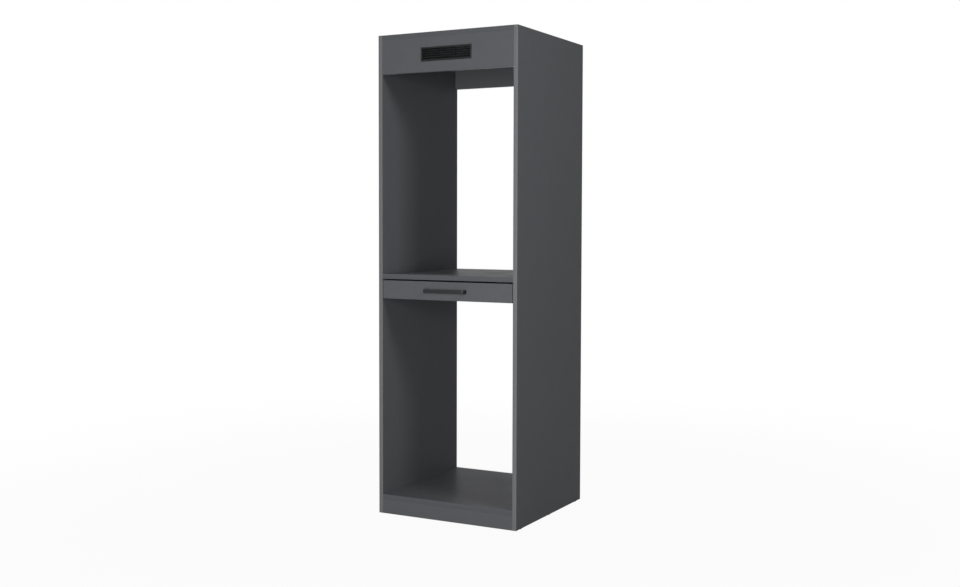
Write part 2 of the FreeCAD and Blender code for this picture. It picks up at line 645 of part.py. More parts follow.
carcass_boards()
carcass_bands()
carcass_joints()
wall_holes()
glides()
grille()
pullout()
handle()
slide(-1, "left", "left_side_panel", "pullout_left_cleat")
slide(1, "right", "right_side_panel", "pullout_right_cleat")

os.makedirs("parts", exist_ok=True)
for node, solid in boards.items():
    shape = solid.cut(holes[node]) if holes[node] else solid
    shape.exportStep("parts/%s.step" % node)
for node, solids in groups.items():
    shape = solids[0] if len(solids) == 1 else Part.makeCompound(solids)
    shape.exportStep("parts/%s.step" % node)
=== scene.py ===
"""Looks of a tall washing machine cabinet with a pull-out shelf between its two bays.

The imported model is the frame. Each piece is made in metres where the frame has its solid, stands for
that solid and rides on its body.
"""

import json
import logging
import math
from dataclasses import dataclass, field, fields
from enum import Enum
from typing import ClassVar, NewType, Sequence

import bmesh
import bpy
from mathutils import Euler, Matrix, Vector

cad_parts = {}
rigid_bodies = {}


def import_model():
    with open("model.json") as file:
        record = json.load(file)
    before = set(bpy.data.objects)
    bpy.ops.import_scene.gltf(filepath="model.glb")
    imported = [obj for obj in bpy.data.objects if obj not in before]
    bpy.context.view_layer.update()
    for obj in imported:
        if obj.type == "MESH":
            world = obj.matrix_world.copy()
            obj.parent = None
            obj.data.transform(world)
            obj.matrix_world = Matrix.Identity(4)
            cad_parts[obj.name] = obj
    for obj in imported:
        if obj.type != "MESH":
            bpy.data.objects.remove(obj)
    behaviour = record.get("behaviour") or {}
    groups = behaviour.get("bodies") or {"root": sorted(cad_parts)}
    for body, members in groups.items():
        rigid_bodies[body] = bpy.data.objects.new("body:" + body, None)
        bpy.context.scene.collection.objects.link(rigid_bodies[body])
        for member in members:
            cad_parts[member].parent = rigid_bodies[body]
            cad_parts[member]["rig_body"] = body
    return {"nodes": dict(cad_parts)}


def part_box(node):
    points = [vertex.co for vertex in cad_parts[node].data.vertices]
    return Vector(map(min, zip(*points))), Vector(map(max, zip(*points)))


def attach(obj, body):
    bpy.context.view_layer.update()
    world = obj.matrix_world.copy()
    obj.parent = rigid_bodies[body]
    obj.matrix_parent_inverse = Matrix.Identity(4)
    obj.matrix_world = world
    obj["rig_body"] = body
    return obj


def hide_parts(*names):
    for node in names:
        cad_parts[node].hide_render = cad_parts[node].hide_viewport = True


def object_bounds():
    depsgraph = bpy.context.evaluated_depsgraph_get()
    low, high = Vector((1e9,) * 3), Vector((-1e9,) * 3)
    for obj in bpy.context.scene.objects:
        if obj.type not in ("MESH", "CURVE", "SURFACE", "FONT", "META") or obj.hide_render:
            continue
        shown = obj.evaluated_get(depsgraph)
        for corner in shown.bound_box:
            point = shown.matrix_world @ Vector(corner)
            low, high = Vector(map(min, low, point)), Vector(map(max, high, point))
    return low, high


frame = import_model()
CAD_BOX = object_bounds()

LOG = logging.getLogger("cabinet")

Mm = NewType("Mm", float)
Piece = bpy.types.Object
Shape = bmesh.types.BMesh
Tree = bpy.types.NodeTree
Node = bpy.types.Node
Socket = bpy.types.NodeSocket
# What feeds a node's input: a socket, or a node by its first output
Source = Node | Socket
Sizes = dict[str, Socket]

MM = 0.001
WELD = 1e-6
QUARTER_TURN = math.pi / 2
SMOOTH_BELOW = math.radians(35)
# The profile of a bevel that follows a circle
CIRCULAR = 0.5

# Inputs and output of a colour mix node, whose sockets share their names
MIX_FACTOR, MIX_A, MIX_B, MIX_RESULT = 0, 6, 7, 2
# The middle stretch of a noise texture's values, which holds nearly all of them
NOISE_LOW, NOISE_HIGH = 0.3, 0.7
# The layers of finer noise in the shades, in the roughness and in the relief
SHADE_DETAIL, WEAR_DETAIL, GRAIN_DETAIL = 5.0, 6.0, 2.0
# The roughness changes over so many times the size of the mottle
WEAR_SPREAD = 2
# The distances from a cell's point, in cells, at which a pearl ends and its flat top begins
PEARL_EDGE, PEARL_TOP = 0.85, 0.25

SIDE_PANELS = ("left_side_panel", "right_side_panel")
FLAT_BOARDS = ("top_panel", "dryer_shelf", "washer_floor")
UPRIGHT_BOARDS = ("top_fascia", "rear_top_rail", "rear_mid_rail", "front_plinth", "rear_plinth")


class Axis(Enum):
    """The three directions of the cabinet."""

    X = (1, 0, 0)
    Y = (0, 1, 0)
    Z = (0, 0, 1)

    @property
    def way(self) -> Vector:
        """The direction as a vector."""
        return Vector(self.value)


RIGHT, BACK, UP = (axis.way for axis in Axis)


class Side(Enum):
    """The two sides of the cabinet, as seen from the front."""

    LEFT = -1
    RIGHT = 1

    @property
    def word(self) -> str:
        """The side's name as it stands in node names."""
        return self.name.lower()


@dataclass(frozen=True)
class Box:
    """A block between its lowest and its highest corner, in metres."""

    low: Vector
    high: Vector

    @classmethod
    def of(cls, node: str) -> "Box":
        """The block that a node of the frame fills."""
        return cls(*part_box(node))

    @classmethod
    def around(cls, points: Sequence[Vector]) -> "Box":
        """The smallest block that holds some points."""
        sides = list(zip(*points))
        return cls(Vector([min(side) for side in sides]), Vector([max(side) for side in sides]))

    @property
    def centre(self) -> Vector:
        """The middle of the block."""
        return (self.low + self.high) / 2

    @property
    def size(self) -> Vector:
        """The block's extent along each axis."""
        return self.high - self.low

    @property
    def run(self) -> Vector:
        """The direction in which the block is longest."""
        return max((RIGHT, BACK, UP), key=self.size.dot)

    def reach(self, way: Vector) -> float:
        """How far the block goes in a direction, from the origin."""
        return max(self.low.dot(way), self.high.dot(way))

    def grown(self, by: Vector) -> "Box":
        """The block with its faces moved outwards."""
        return Box(self.low - by, self.high + by)

    def meets(self, other: "Box") -> bool:
        """Tells whether two blocks share room."""
        return all(self.low[i] < other.high[i] and other.low[i] < self.high[i] for i in range(3))

    def holds(self, point: Vector) -> bool:
        """Tells whether a point lies in the block."""
        return all(self.low[i] <= point[i] <= self.high[i] for i in range(3))

    def add_to(self, shape: Shape) -> set[bmesh.types.BMVert]:
        """Adds the block to a shape, and gives its corners."""
        place = Matrix.LocRotScale(self.centre, None, self.size)
        return set(bmesh.ops.create_cube(shape, size=1, matrix=place)["verts"])


@dataclass(frozen=True)
class Place:
    """Where a copy of a repeated shape stands, the way it faces and the way it is turned."""

    point: Vector
    facing: Vector
    turned: Vector


def linear(shade: str) -> tuple[float, float, float, float]:
    """Turns an sRGB hex shade into a linear colour.

    Args:
        shade: The shade, a hash sign and six hex digits.

    Returns:
        Linear red, green and blue, and full alpha.
    """
    channels = [int(shade[i:i + 2], 16) / 255 for i in (1, 3, 5)]
    bent = [c / 12.92 if c <= 0.04045 else ((c + 0.055) / 1.055) ** 2.4 for c in channels]
    return (*bent, 1.0)


def per_metre(size: Mm) -> float:
    """The texture scale that gives a pattern of this size."""
    return 1 / (size * MM)


def fill(tree: Tree, node: Node, inputs: dict) -> None:
    """Sets or links inputs of a node.

    Args:
        tree: The node's tree.
        node: The node.
        inputs: Values by socket name or number. A socket is linked, a node is linked by its first
            output, and a list of these is joined.
    """
    for key, value in inputs.items():
        for source in value if isinstance(value, list) else [value]:
            if isinstance(source, Node):
                source = source.outputs[0]
            if isinstance(source, Socket):
                tree.links.new(source, node.inputs[key])
            else:
                node.inputs[key].default_value = source


def add_node(tree: Tree, kind: str, inputs: dict | None = None, **settings: str) -> Node:
    """Adds a node with its settings, and sets or links its inputs.

    Args:
        tree: The tree that gets the node.
        kind: Blender's name of the node type.
        inputs: Values by socket name or number, as fill takes them.
        settings: Properties of the node.

    Returns:
        The new node.
    """
    node = tree.nodes.new(kind)
    for name, value in settings.items():
        setattr(node, name, value)
    fill(tree, node, inputs or {})
    return node


@dataclass(frozen=True)
class Finish:
    """A surface with two close shades, a range of roughness and a fine relief.

    The mottle spreads the shades and the roughness, and the grain is the relief that light picks out.
    """

    name: str
    slot: str
    shades: tuple[str, str]
    roughness: tuple[float, float]
    mottle: Mm
    grain: Mm
    relief: Mm
    stretch: tuple[float, float, float] = (1.0, 1.0, 1.0)
    metallic: float = 0.0
    ior: float = 1.5
    specular: float = 0.5

    def colour(self, tree: Tree, coords: Source) -> Source:
        """Spreads the two shades over the surface.

        Args:
            tree: The material's tree.
            coords: Coordinates in metres, stretched along the grain.

        Returns:
            What gives the colour.
        """
        cloud = add_node(tree, "ShaderNodeTexNoise",
                         {"Vector": coords, "Scale": per_metre(self.mottle), "Detail": SHADE_DETAIL})
        dark, light = (linear(shade) for shade in self.shades)
        mix = add_node(tree, "ShaderNodeMix",
                       {MIX_FACTOR: cloud, MIX_A: dark, MIX_B: light}, data_type="RGBA")
        return mix.outputs[MIX_RESULT]

    def height(self, tree: Tree, coords: Source) -> Source:
        """Makes the relief, from 0 to 1."""
        return add_node(tree, "ShaderNodeTexNoise",
                        {"Vector": coords, "Scale": per_metre(self.grain), "Detail": GRAIN_DETAIL})

    def material(self) -> bpy.types.Material:
        """The material of this finish, made on its first use.

        Returns:
            The material.
        """
        known = bpy.data.materials.get(self.name)
        if known:
            return known
        made = bpy.data.materials.new(self.name)
        made.use_nodes = True
        tree = made.node_tree
        place = add_node(tree, "ShaderNodeTexCoord")
        coords = add_node(tree, "ShaderNodeMapping",
                          {"Vector": place.outputs["Object"], "Scale": self.stretch})
        wear = add_node(tree, "ShaderNodeTexNoise", {
            "Vector": coords, "Scale": per_metre(self.mottle) / WEAR_SPREAD, "Detail": WEAR_DETAIL,
        })
        gloss = add_node(tree, "ShaderNodeMapRange", {
            "Value": wear, "From Min": NOISE_LOW, "From Max": NOISE_HIGH,
            "To Min": self.roughness[0], "To Max": self.roughness[1],
        })
        bump = add_node(tree, "ShaderNodeBump",
                        {"Height": self.height(tree, coords), "Distance": self.relief * MM})
        fill(tree, tree.nodes["Principled BSDF"], {
            "Metallic": self.metallic, "IOR": self.ior, "Specular IOR Level": self.specular,
            "Base Color": self.colour(tree, coords), "Roughness": gloss, "Normal": bump,
        })
        return made


@dataclass(frozen=True)
class PearlMelamine(Finish):
    """Printed paper in melamine resin, pressed between plates with a fine pearl grain."""

    pearl: Mm = Mm(1.7)
    # The colour of the hollows: painted shade, with dust; the tops keep the lighter mottle as a painted
    # sheen
    hollow: str = "#545558"

    def pearls(self, tree: Tree, coords: Source) -> Source:
        """Sets round pearls side by side, from 0 in the hollows to 1 on the tops."""
        cells = add_node(tree, "ShaderNodeTexVoronoi", {"Vector": coords, "Scale": per_metre(self.pearl)})
        return add_node(tree, "ShaderNodeMapRange",
                        {"Value": cells, "From Min": PEARL_EDGE, "From Max": PEARL_TOP})

    def colour(self, tree: Tree, coords: Source) -> Source:
        """Paints the hollows between the pearls darker than their tops: painted shade and dust in the
        hollows, a painted sheen on the tops.

        Args:
            tree: The material's tree.
            coords: Coordinates in metres.

        Returns:
            What gives the colour.
        """
        mix = add_node(tree, "ShaderNodeMix", {
            MIX_FACTOR: self.pearls(tree, coords),
            MIX_A: linear(self.hollow),
            MIX_B: super().colour(tree, coords),
        }, data_type="RGBA")
        return mix.outputs[MIX_RESULT]

    def height(self, tree: Tree, coords: Source) -> Source:
        """Raises the pearls and roughens them with a finer grain."""
        fine, tops = super().height(tree, coords), self.pearls(tree, coords)
        return add_node(tree, "ShaderNodeMath", {0: fine, 1: tops}, operation="MULTIPLY")


@dataclass(frozen=True)
class ChipboardCore(Finish):
    """Sawn chipboard: pressed wood chips, each with its own shade, and fine dust between them."""

    chip: Mm = Mm(1.6)
    dust: float = 0.45

    def colour(self, tree: Tree, coords: Source) -> Source:
        """Gives every chip its own shade, and softens it with dust.

        Args:
            tree: The material's tree.
            coords: Coordinates in metres.

        Returns:
            What gives the colour.
        """
        chips = add_node(tree, "ShaderNodeTexVoronoi", {"Vector": coords, "Scale": per_metre(self.chip)})
        chance = add_node(tree, "ShaderNodeSeparateColor", {0: chips.outputs["Color"]})
        dark, light = (linear(shade) for shade in self.shades)
        wood = add_node(tree, "ShaderNodeMix",
                        {MIX_FACTOR: chance, MIX_A: dark, MIX_B: light}, data_type="RGBA")
        mix = add_node(tree, "ShaderNodeMix", {
            MIX_FACTOR: self.dust,
            MIX_A: wood.outputs[MIX_RESULT],
            MIX_B: super().colour(tree, coords),
        }, data_type="RGBA")
        return mix.outputs[MIX_RESULT]


# Anthracite decor on the faces of every board: matt, so it shows light and shade but no clear reflection.
# The pearls of such a board are about 0.5 mm wide and are drawn coarser here, so that they show.
MELAMINE = PearlMelamine(
    "melamine_faced_chipboard", "melamine_board", ("#5a5b5e", "#606164"), (0.34, 0.42),
    mottle=Mm(60), grain=Mm(0.9), relief=Mm(0.08), specular=0.009)
# Extruded edging on the sides: even and matt, with faint streaks along it, and painted lighter than the
# decor, a painted highlight for the light that its rounded corners catch.
EDGING_UPRIGHT_PAINTED_LIGHTER = Finish(
    "abs_edging_upright", "board_edging", ("#68686a", "#6e6e70"), (0.38, 0.46),
    mottle=Mm(12), grain=Mm(0.6), relief=Mm(0.01), stretch=(1.0, 1.0, 0.05), specular=0.06)
# The same edging on the boards, the rails and the pull-out, painted darker where the photograph shows it
# darker: painted shade, not a colour of its own.
EDGING_ACROSS_PAINTED_DARKER = Finish(
    "abs_edging_across", "board_edging", ("#515256", "#57585c"), (0.38, 0.46),
    mottle=Mm(12), grain=Mm(0.6), relief=Mm(0.01), stretch=(0.05, 1.0, 1.0), specular=0.06)
# Raw core where a board has neither facing nor edging: light brown specks without shine.
CHIPBOARD = ChipboardCore(
    "raw_chipboard_core", "melamine_board", ("#8c724f", "#bfa37a"), (0.8, 0.95),
    mottle=Mm(5), grain=Mm(0.8), relief=Mm(0.2), specular=0.2)
# Injection-moulded plastic with the dull bloom of an eroded tool.
BLACK_PLASTIC = Finish(
    "moulded_black_abs", "black_plastic", ("#191a1b", "#1e1f20"), (0.4, 0.52),
    mottle=Mm(15), grain=Mm(0.5), relief=Mm(0.02), specular=0.2)
# Powder coat over zinc: matt, with the fine orange peel of the baked powder.
POWDER_COAT = Finish(
    "powder_coated_zinc", "handle_metal", ("#1c1c1e", "#212123"), (0.36, 0.46),
    mottle=Mm(10), grain=Mm(0.7), relief=Mm(0.03), specular=0.25)
# Rolled steel strip with bright zinc, whose streaks run along the slide.
ZINC_STEEL = Finish(
    "zinc_plated_steel", "zinc_steel", ("#a3a7ac", "#c0c4c9"), (0.22, 0.4),
    mottle=Mm(1.6), grain=Mm(0.5), relief=Mm(0.006), stretch=(1.0, 0.015, 1.0), metallic=1.0)
# Turned and plated screws: no rolling streaks, and a little duller.
ZINC_SCREW = Finish(
    "zinc_plated_screw_steel", "zinc_steel", ("#a5a8ac", "#b8bbbf"), (0.28, 0.4),
    mottle=Mm(2), grain=Mm(0.3), relief=Mm(0.004), metallic=1.0)
# Ground and polished bearing steel, which mirrors its race.
BALL_STEEL = Finish(
    "polished_bearing_steel", "ball_steel", ("#c9ccd0", "#d3d6da"), (0.06, 0.12),
    mottle=Mm(1.5), grain=Mm(0.4), relief=Mm(0.001), metallic=1.0)
# Die-cast zinc as it leaves the tool: grey, with a slightly sandy skin.
CAST_ZINC = Finish(
    "die_cast_zinc", "cam_zinc", ("#9a9da1", "#aeb1b5"), (0.38, 0.55),
    mottle=Mm(3), grain=Mm(0.4), relief=Mm(0.02), metallic=1.0)
# Turned beech: pale, with short darker flecks along the dowel.
BEECH = Finish(
    "beech_dowel_wood", "dowel_wood", ("#b98a58", "#d3aa78"), (0.55, 0.7),
    mottle=Mm(1.5), grain=Mm(0.4), relief=Mm(0.02), stretch=(0.12, 1.0, 1.0), specular=0.3)


def welded(node: str) -> Shape:
    """Copies a node's mesh, whose triangles are loose, and joins them up.

    Args:
        node: The node's name.

    Returns:
        The joined copy.
    """
    shape = bmesh.new()
    shape.from_mesh(frame["nodes"][node].data)
    bmesh.ops.remove_doubles(shape, verts=shape.verts, dist=WELD)
    return shape


def solids(node: str) -> list[Box]:
    """Finds the separate solids of a node.

    Args:
        node: The node's name.

    Returns:
        The block of each solid, in the order of the node's vertices.
    """
    shape = welded(node)
    seen = set()
    found = []
    for first in shape.verts:
        if first in seen:
            continue
        seen.add(first)
        waiting = [first]
        points = []
        while waiting:
            vert = waiting.pop()
            points.append(vert.co.copy())
            fresh = {edge.other_vert(vert) for edge in vert.link_edges} - seen
            seen |= fresh
            waiting += fresh
        found.append(Box.around(points))
    shape.free()
    return found


def quarter_arc(steps: int) -> list[tuple[float, float]]:
    """Points of a quarter circle of radius 1, as distances from the two lines that it touches."""
    turns = [QUARTER_TURN * i / steps for i in range(steps + 1)]
    return [(1 - math.cos(turn), 1 - math.sin(turn)) for turn in turns]


def bevel(shape: Shape, edges: list[bmesh.types.BMEdge], width: Mm, steps: int = 1) -> None:
    """Rounds edges of a shape, or chamfers them if there is only one step."""
    bmesh.ops.bevel(shape, geom=edges, offset=width * MM, segments=steps, profile=CIRCULAR, affect="EDGES")


def new_object(name: str, data: bpy.types.ID) -> Piece:
    """Links a new object to the scene, at the origin.

    Args:
        name: The object's name.
        data: Its mesh, light or camera.

    Returns:
        The object.
    """
    made = bpy.data.objects.new(name, data)
    bpy.context.scene.collection.objects.link(made)
    return made


def to_object(name: str, shape: Shape) -> Piece:
    """Turns an edited shape into an object with its faces outwards.

    Args:
        name: The object's name.
        shape: The edited shape, which is freed.

    Returns:
        The object.
    """
    bmesh.ops.recalc_face_normals(shape, faces=shape.faces)
    mesh = bpy.data.meshes.new(name)
    shape.to_mesh(mesh)
    shape.free()
    return new_object(name, mesh)


def baked(piece: Piece) -> Piece:
    """Replaces an object's mesh with what its modifiers make of it, and removes them.

    Args:
        piece: The object.

    Returns:
        The same object, with a plain mesh.
    """
    graph = bpy.context.evaluated_depsgraph_get()
    mesh = bpy.data.meshes.new_from_object(piece.evaluated_get(graph), depsgraph=graph)
    piece.modifiers.clear()
    piece.data = mesh
    return piece


def smoothed(piece: Piece) -> Piece:
    """Shades a piece smoothly, apart from its sharp edges.

    Args:
        piece: The piece.

    Returns:
        The same piece.
    """
    piece.data.shade_smooth()
    piece.data.set_sharp_from_angle(angle=SMOOTH_BELOW)
    return piece


def settle(piece: Piece, finish: Finish, node: str) -> None:
    """Gives a piece its material if it has none and its body, and hides the node that it stands for.

    Args:
        piece: The finished piece.
        finish: Its finish, which names the record's slot.
        node: The node that it stands for.
    """
    if not piece.data.materials:
        piece.data.materials.append(finish.material())
    body = frame["nodes"][node]["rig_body"]
    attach(piece, body)
    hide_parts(node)
    LOG.info("%s rides on %s, %d faces", piece.name, body, len(piece.data.polygons))


def lifted(tree: Tree, geometry: Source, by: Source | float) -> Node:
    """Moves geometry up in a tree."""
    up = add_node(tree, "ShaderNodeCombineXYZ", {"Z": by})
    return add_node(tree, "GeometryNodeTransform", {"Geometry": geometry, "Translation": up})


def cross_bars(tree: Tree, length: Source, width: Source, depth: Source) -> list[Node]:
    """Makes the two bars that cut a cross recess, round the origin.

    Args:
        tree: The pattern's tree.
        length: The length of a bar.
        width: The width of a bar.
        depth: The extent along Z.

    Returns:
        The nodes of the bars.
    """
    bars = []
    for x, y in ((length, width), (width, length)):
        extent = add_node(tree, "ShaderNodeCombineXYZ", {"X": x, "Y": y, "Z": depth})
        bars.append(add_node(tree, "GeometryNodeMeshCube", {"Size": extent}))
    return bars


@dataclass
class Pattern:
    """A shape that repeats: a geometry tree with named sizes stands a copy on each point."""

    finish: Finish

    # How the shape is made, which ends the names of its pieces
    MADE: ClassVar = ""
    WAYS: ClassVar = ("facing", "turned")
    SOCKETS: ClassVar = {
        Mm: ("NodeSocketFloat", MM), float: ("NodeSocketFloat", 1), int: ("NodeSocketInt", 1),
    }

    def shape(self, tree: Tree, size: Sizes) -> Node:
        """Builds one copy at the origin, facing up.

        Args:
            tree: The pattern's tree.
            size: The sockets of the named sizes.

        Returns:
            The node of the copy.
        """
        raise NotImplementedError

    def scatter(self, name: str, places: Sequence[Place]) -> Piece:
        """Stands a copy on each place and makes them one plain mesh.

        Args:
            name: The new object's name.
            places: Where the copies stand.

        Returns:
            The object with all the copies.
        """
        tree = bpy.data.node_groups.new(name, "GeometryNodeTree")
        tree.interface.new_socket("points", in_out="INPUT", socket_type="NodeSocketGeometry")
        tree.interface.new_socket("copies", in_out="OUTPUT", socket_type="NodeSocketGeometry")
        values = {}
        for item in fields(self):
            if item.type in self.SOCKETS:
                kind, unit = self.SOCKETS[item.type]
                port = tree.interface.new_socket(item.name, in_out="INPUT", socket_type=kind)
                values[port.identifier] = getattr(self, item.name) * unit
        size = {port.name: port for port in add_node(tree, "NodeGroupInput").outputs if port.name}
        facing, turned = (
            add_node(tree, "GeometryNodeInputNamedAttribute", {"Name": way}, data_type="FLOAT_VECTOR")
            for way in self.WAYS)
        stood = add_node(tree, "FunctionNodeAlignRotationToVector", {"Vector": facing}, axis="Z")
        spun = add_node(tree, "FunctionNodeAlignRotationToVector",
                        {"Rotation": stood, "Vector": turned}, axis="X", pivot_axis="Z")
        copies = add_node(tree, "GeometryNodeInstanceOnPoints",
                          {"Points": size["points"], "Instance": self.shape(tree, size), "Rotation": spun})
        real = add_node(tree, "GeometryNodeRealizeInstances", {"Geometry": copies})
        painted = add_node(tree, "GeometryNodeSetMaterial",
                           {"Geometry": real, "Material": self.finish.material()})
        add_node(tree, "NodeGroupOutput", {"copies": painted})

        mesh = bpy.data.meshes.new(name)
        mesh.from_pydata([place.point for place in places], [], [])
        for way in self.WAYS:
            column = mesh.attributes.new(way, "FLOAT_VECTOR", "POINT")
            column.data.foreach_set("vector", [c for place in places for c in getattr(place, way)])
        thing = new_object(name, mesh)
        modifier = thing.modifiers.new(name, "NODES")
        modifier.node_group = tree
        for identifier, value in values.items():
            modifier[identifier] = value
        return smoothed(baked(thing))

    def stand_for(self, node: str, places: Sequence[Place]) -> None:
        """Stands a copy on each place, instead of a node's solids."""
        settle(self.scatter(node + "_" + self.MADE, places), self.finish, node)


@dataclass
class Balls(Pattern):
    """The balls of a slide."""

    radius: Mm = Mm(2.0)
    segments: int = 24
    rings: int = 14

    MADE: ClassVar = "ground"

    def shape(self, tree: Tree, size: Sizes) -> Node:
        """One ball round the origin."""
        return add_node(tree, "GeometryNodeMeshUVSphere",
                        {"Radius": size["radius"], "Segments": size["segments"], "Rings": size["rings"]})


@dataclass
class Cams(Pattern):
    """Cam housings: a drum whose face has a cross recess, with a bore for the bolt's head."""

    radius: Mm
    depth: Mm
    recess: Mm = Mm(9.0)
    slot: Mm = Mm(2.0)
    slot_depth: Mm = Mm(3.0)
    bore: Mm = Mm(3.8)
    bore_depth: Mm = Mm(9.35)
    bore_out: Mm = Mm(4.4)
    sides: int = 40

    MADE: ClassVar = "cast"

    def shape(self, tree: Tree, size: Sizes) -> Node:
        """One drum below the origin, its face at the origin and its bore towards X.

        Args:
            tree: The pattern's tree.
            size: The sockets of the named sizes.

        Returns:
            The node of the drum.
        """
        drum = add_node(tree, "GeometryNodeMeshCylinder",
                        {"Vertices": size["sides"], "Radius": size["radius"], "Depth": size["depth"]})
        half = add_node(tree, "ShaderNodeMath", {0: size["depth"], 1: -0.5}, operation="MULTIPLY")
        twice = add_node(tree, "ShaderNodeMath", {0: size["slot_depth"], 1: 2.0}, operation="MULTIPLY")
        bore = add_node(tree, "GeometryNodeMeshCylinder",
                        {"Vertices": size["sides"], "Radius": size["bore"], "Depth": size["radius"]})
        below = add_node(tree, "ShaderNodeMath", {0: size["bore_depth"], 1: -1.0}, operation="MULTIPLY")
        at = add_node(tree, "ShaderNodeCombineXYZ", {"X": size["bore_out"], "Z": below})
        lying = add_node(tree, "GeometryNodeTransform",
                         {"Geometry": bore, "Translation": at, "Rotation": (0.0, QUARTER_TURN, 0.0)})
        cutters = [*cross_bars(tree, size["recess"], size["slot"], twice), lying]
        return add_node(tree, "GeometryNodeMeshBoolean",
                        {"Mesh 1": lifted(tree, drum, half), "Mesh 2": cutters}, operation="DIFFERENCE")


@dataclass
class Screws(Pattern):
    """Screws with a cross recess in the head and a thread along the shank."""

    head: Mm = Mm(4.2)
    head_top: Mm = Mm(3.2)
    head_height: Mm = Mm(1.6)
    slot: Mm = Mm(0.9)
    shank: Mm = Mm(3.0)
    core: Mm = Mm(2.3)
    length: Mm = Mm(12.2)
    thread: Mm = Mm(10.0)
    ridge: Mm = Mm(0.35)
    turns: float = 5.0
    sides: int = 28
    ridge_sides: int = 4

    MADE: ClassVar = "turned"

    def shape(self, tree: Tree, size: Sizes) -> Node:
        """One screw with its head on the origin and its shank below.

        Args:
            tree: The pattern's tree.
            size: The sockets of the named sizes.

        Returns:
            The node of the screw.
        """
        head = add_node(tree, "GeometryNodeMeshCone", {
            "Vertices": size["sides"], "Radius Top": size["head_top"],
            "Radius Bottom": size["head"], "Depth": size["head_height"],
        })
        bars = cross_bars(tree, size["head_top"], size["slot"], size["head_height"])
        recess = [lifted(tree, bar, size["head_height"]) for bar in bars]
        crossed = add_node(tree, "GeometryNodeMeshBoolean",
                           {"Mesh 1": head, "Mesh 2": recess}, operation="DIFFERENCE")
        core = add_node(tree, "GeometryNodeMeshCylinder",
                        {"Vertices": size["sides"], "Radius": size["core"], "Depth": size["length"]})
        half = add_node(tree, "ShaderNodeMath", {0: size["length"], 1: -0.5}, operation="MULTIPLY")
        flank = add_node(tree, "ShaderNodeMath", {0: size["shank"], 1: size["ridge"]}, operation="SUBTRACT")
        helix = add_node(tree, "GeometryNodeCurveSpiral", {
            "Resolution": size["sides"], "Rotations": size["turns"], "Start Radius": flank,
            "End Radius": flank, "Height": size["thread"],
        })
        section = add_node(tree, "GeometryNodeCurvePrimitiveCircle",
                           {"Resolution": size["ridge_sides"], "Radius": size["ridge"]})
        ridge = add_node(tree, "GeometryNodeCurveToMesh",
                         {"Curve": helix, "Profile Curve": section, "Fill Caps": True})
        start = add_node(tree, "ShaderNodeMath", {0: size["ridge"], 1: size["length"]}, operation="SUBTRACT")
        parts = [crossed, lifted(tree, core, half), lifted(tree, ridge, start)]
        return add_node(tree, "GeometryNodeJoinGeometry", {"Geometry": parts})


@dataclass
class Dowels(Pattern):
    """Fluted dowels with tapered ends."""

    radius: Mm = Mm(4.0)
    body: Mm = Mm(29.0)
    taper: Mm = Mm(2.0)
    tip: Mm = Mm(3.0)
    flute: Mm = Mm(0.35)
    flutes: float = 14.0
    sides: int = 56

    MADE: ClassVar = "fluted"

    def shape(self, tree: Tree, size: Sizes) -> Node:
        """One dowel round the origin, along Z.

        Args:
            tree: The pattern's tree.
            size: The sockets of the named sizes.

        Returns:
            The node of the dowel.
        """
        body = add_node(tree, "GeometryNodeMeshCylinder",
                        {"Vertices": size["sides"], "Radius": size["radius"], "Depth": size["body"]})
        cap = add_node(tree, "GeometryNodeMeshCone", {
            "Vertices": size["sides"], "Radius Top": size["tip"],
            "Radius Bottom": size["radius"], "Depth": size["taper"],
        })
        half = add_node(tree, "ShaderNodeMath", {0: size["body"], 1: 0.5}, operation="MULTIPLY")
        top = lifted(tree, cap, half)
        bottom = add_node(tree, "GeometryNodeTransform", {"Geometry": top, "Rotation": (math.pi, 0.0, 0.0)})
        whole = add_node(tree, "GeometryNodeJoinGeometry", {"Geometry": [body, top, bottom]})
        point = add_node(tree, "GeometryNodeInputPosition")
        parts = add_node(tree, "ShaderNodeSeparateXYZ", {"Vector": point})
        x, y = parts.outputs["X"], parts.outputs["Y"]
        angle = add_node(tree, "ShaderNodeMath", {0: y, 1: x}, operation="ARCTAN2")
        many = add_node(tree, "ShaderNodeMath", {0: angle, 1: size["flutes"]}, operation="MULTIPLY")
        wave = add_node(tree, "ShaderNodeMath", {0: many}, operation="COSINE")
        sink = add_node(tree, "ShaderNodeMath", {0: wave, 1: 1.0}, operation="SUBTRACT")
        deep = add_node(tree, "ShaderNodeMath", {0: sink, 1: size["flute"]}, operation="MULTIPLY")
        flat = add_node(tree, "ShaderNodeCombineXYZ", {"X": x, "Y": y})
        outwards = add_node(tree, "ShaderNodeVectorMath", {0: flat}, operation="NORMALIZE")
        shift = add_node(tree, "ShaderNodeVectorMath", {0: outwards, "Scale": deep}, operation="SCALE")
        return add_node(tree, "GeometryNodeSetPosition", {"Geometry": whole, "Offset": shift})


@dataclass
class Glides(Pattern):
    """Nail-on glides: a button with a tapered foot and a nail."""

    radius: Mm = Mm(8.5)
    foot: Mm = Mm(7.2)
    taper: Mm = Mm(1.2)
    button: Mm = Mm(1.8)
    nail: Mm = Mm(1.1)
    nail_length: Mm = Mm(12.0)
    sides: int = 40

    MADE: ClassVar = "moulded"
    # Lower radius, upper radius and height of each length, from the foot up
    LENGTHS: ClassVar = (
        ("foot", "radius", "taper"), ("radius", "radius", "button"), ("nail", "nail", "nail_length"),
    )

    def shape(self, tree: Tree, size: Sizes) -> Node:
        """One glide standing on the origin.

        Args:
            tree: The pattern's tree.
            size: The sockets of the named sizes.

        Returns:
            The node of the glide.
        """
        parts = []
        level = 0.0
        for bottom, top, height in self.LENGTHS:
            ring = add_node(tree, "GeometryNodeMeshCone", {
                "Vertices": size["sides"], "Radius Bottom": size[bottom],
                "Radius Top": size[top], "Depth": size[height],
            })
            parts.append(lifted(tree, ring, level))
            level = add_node(tree, "ShaderNodeMath", {0: level, 1: size[height]}, operation="ADD")
        return add_node(tree, "GeometryNodeJoinGeometry", {"Geometry": parts})


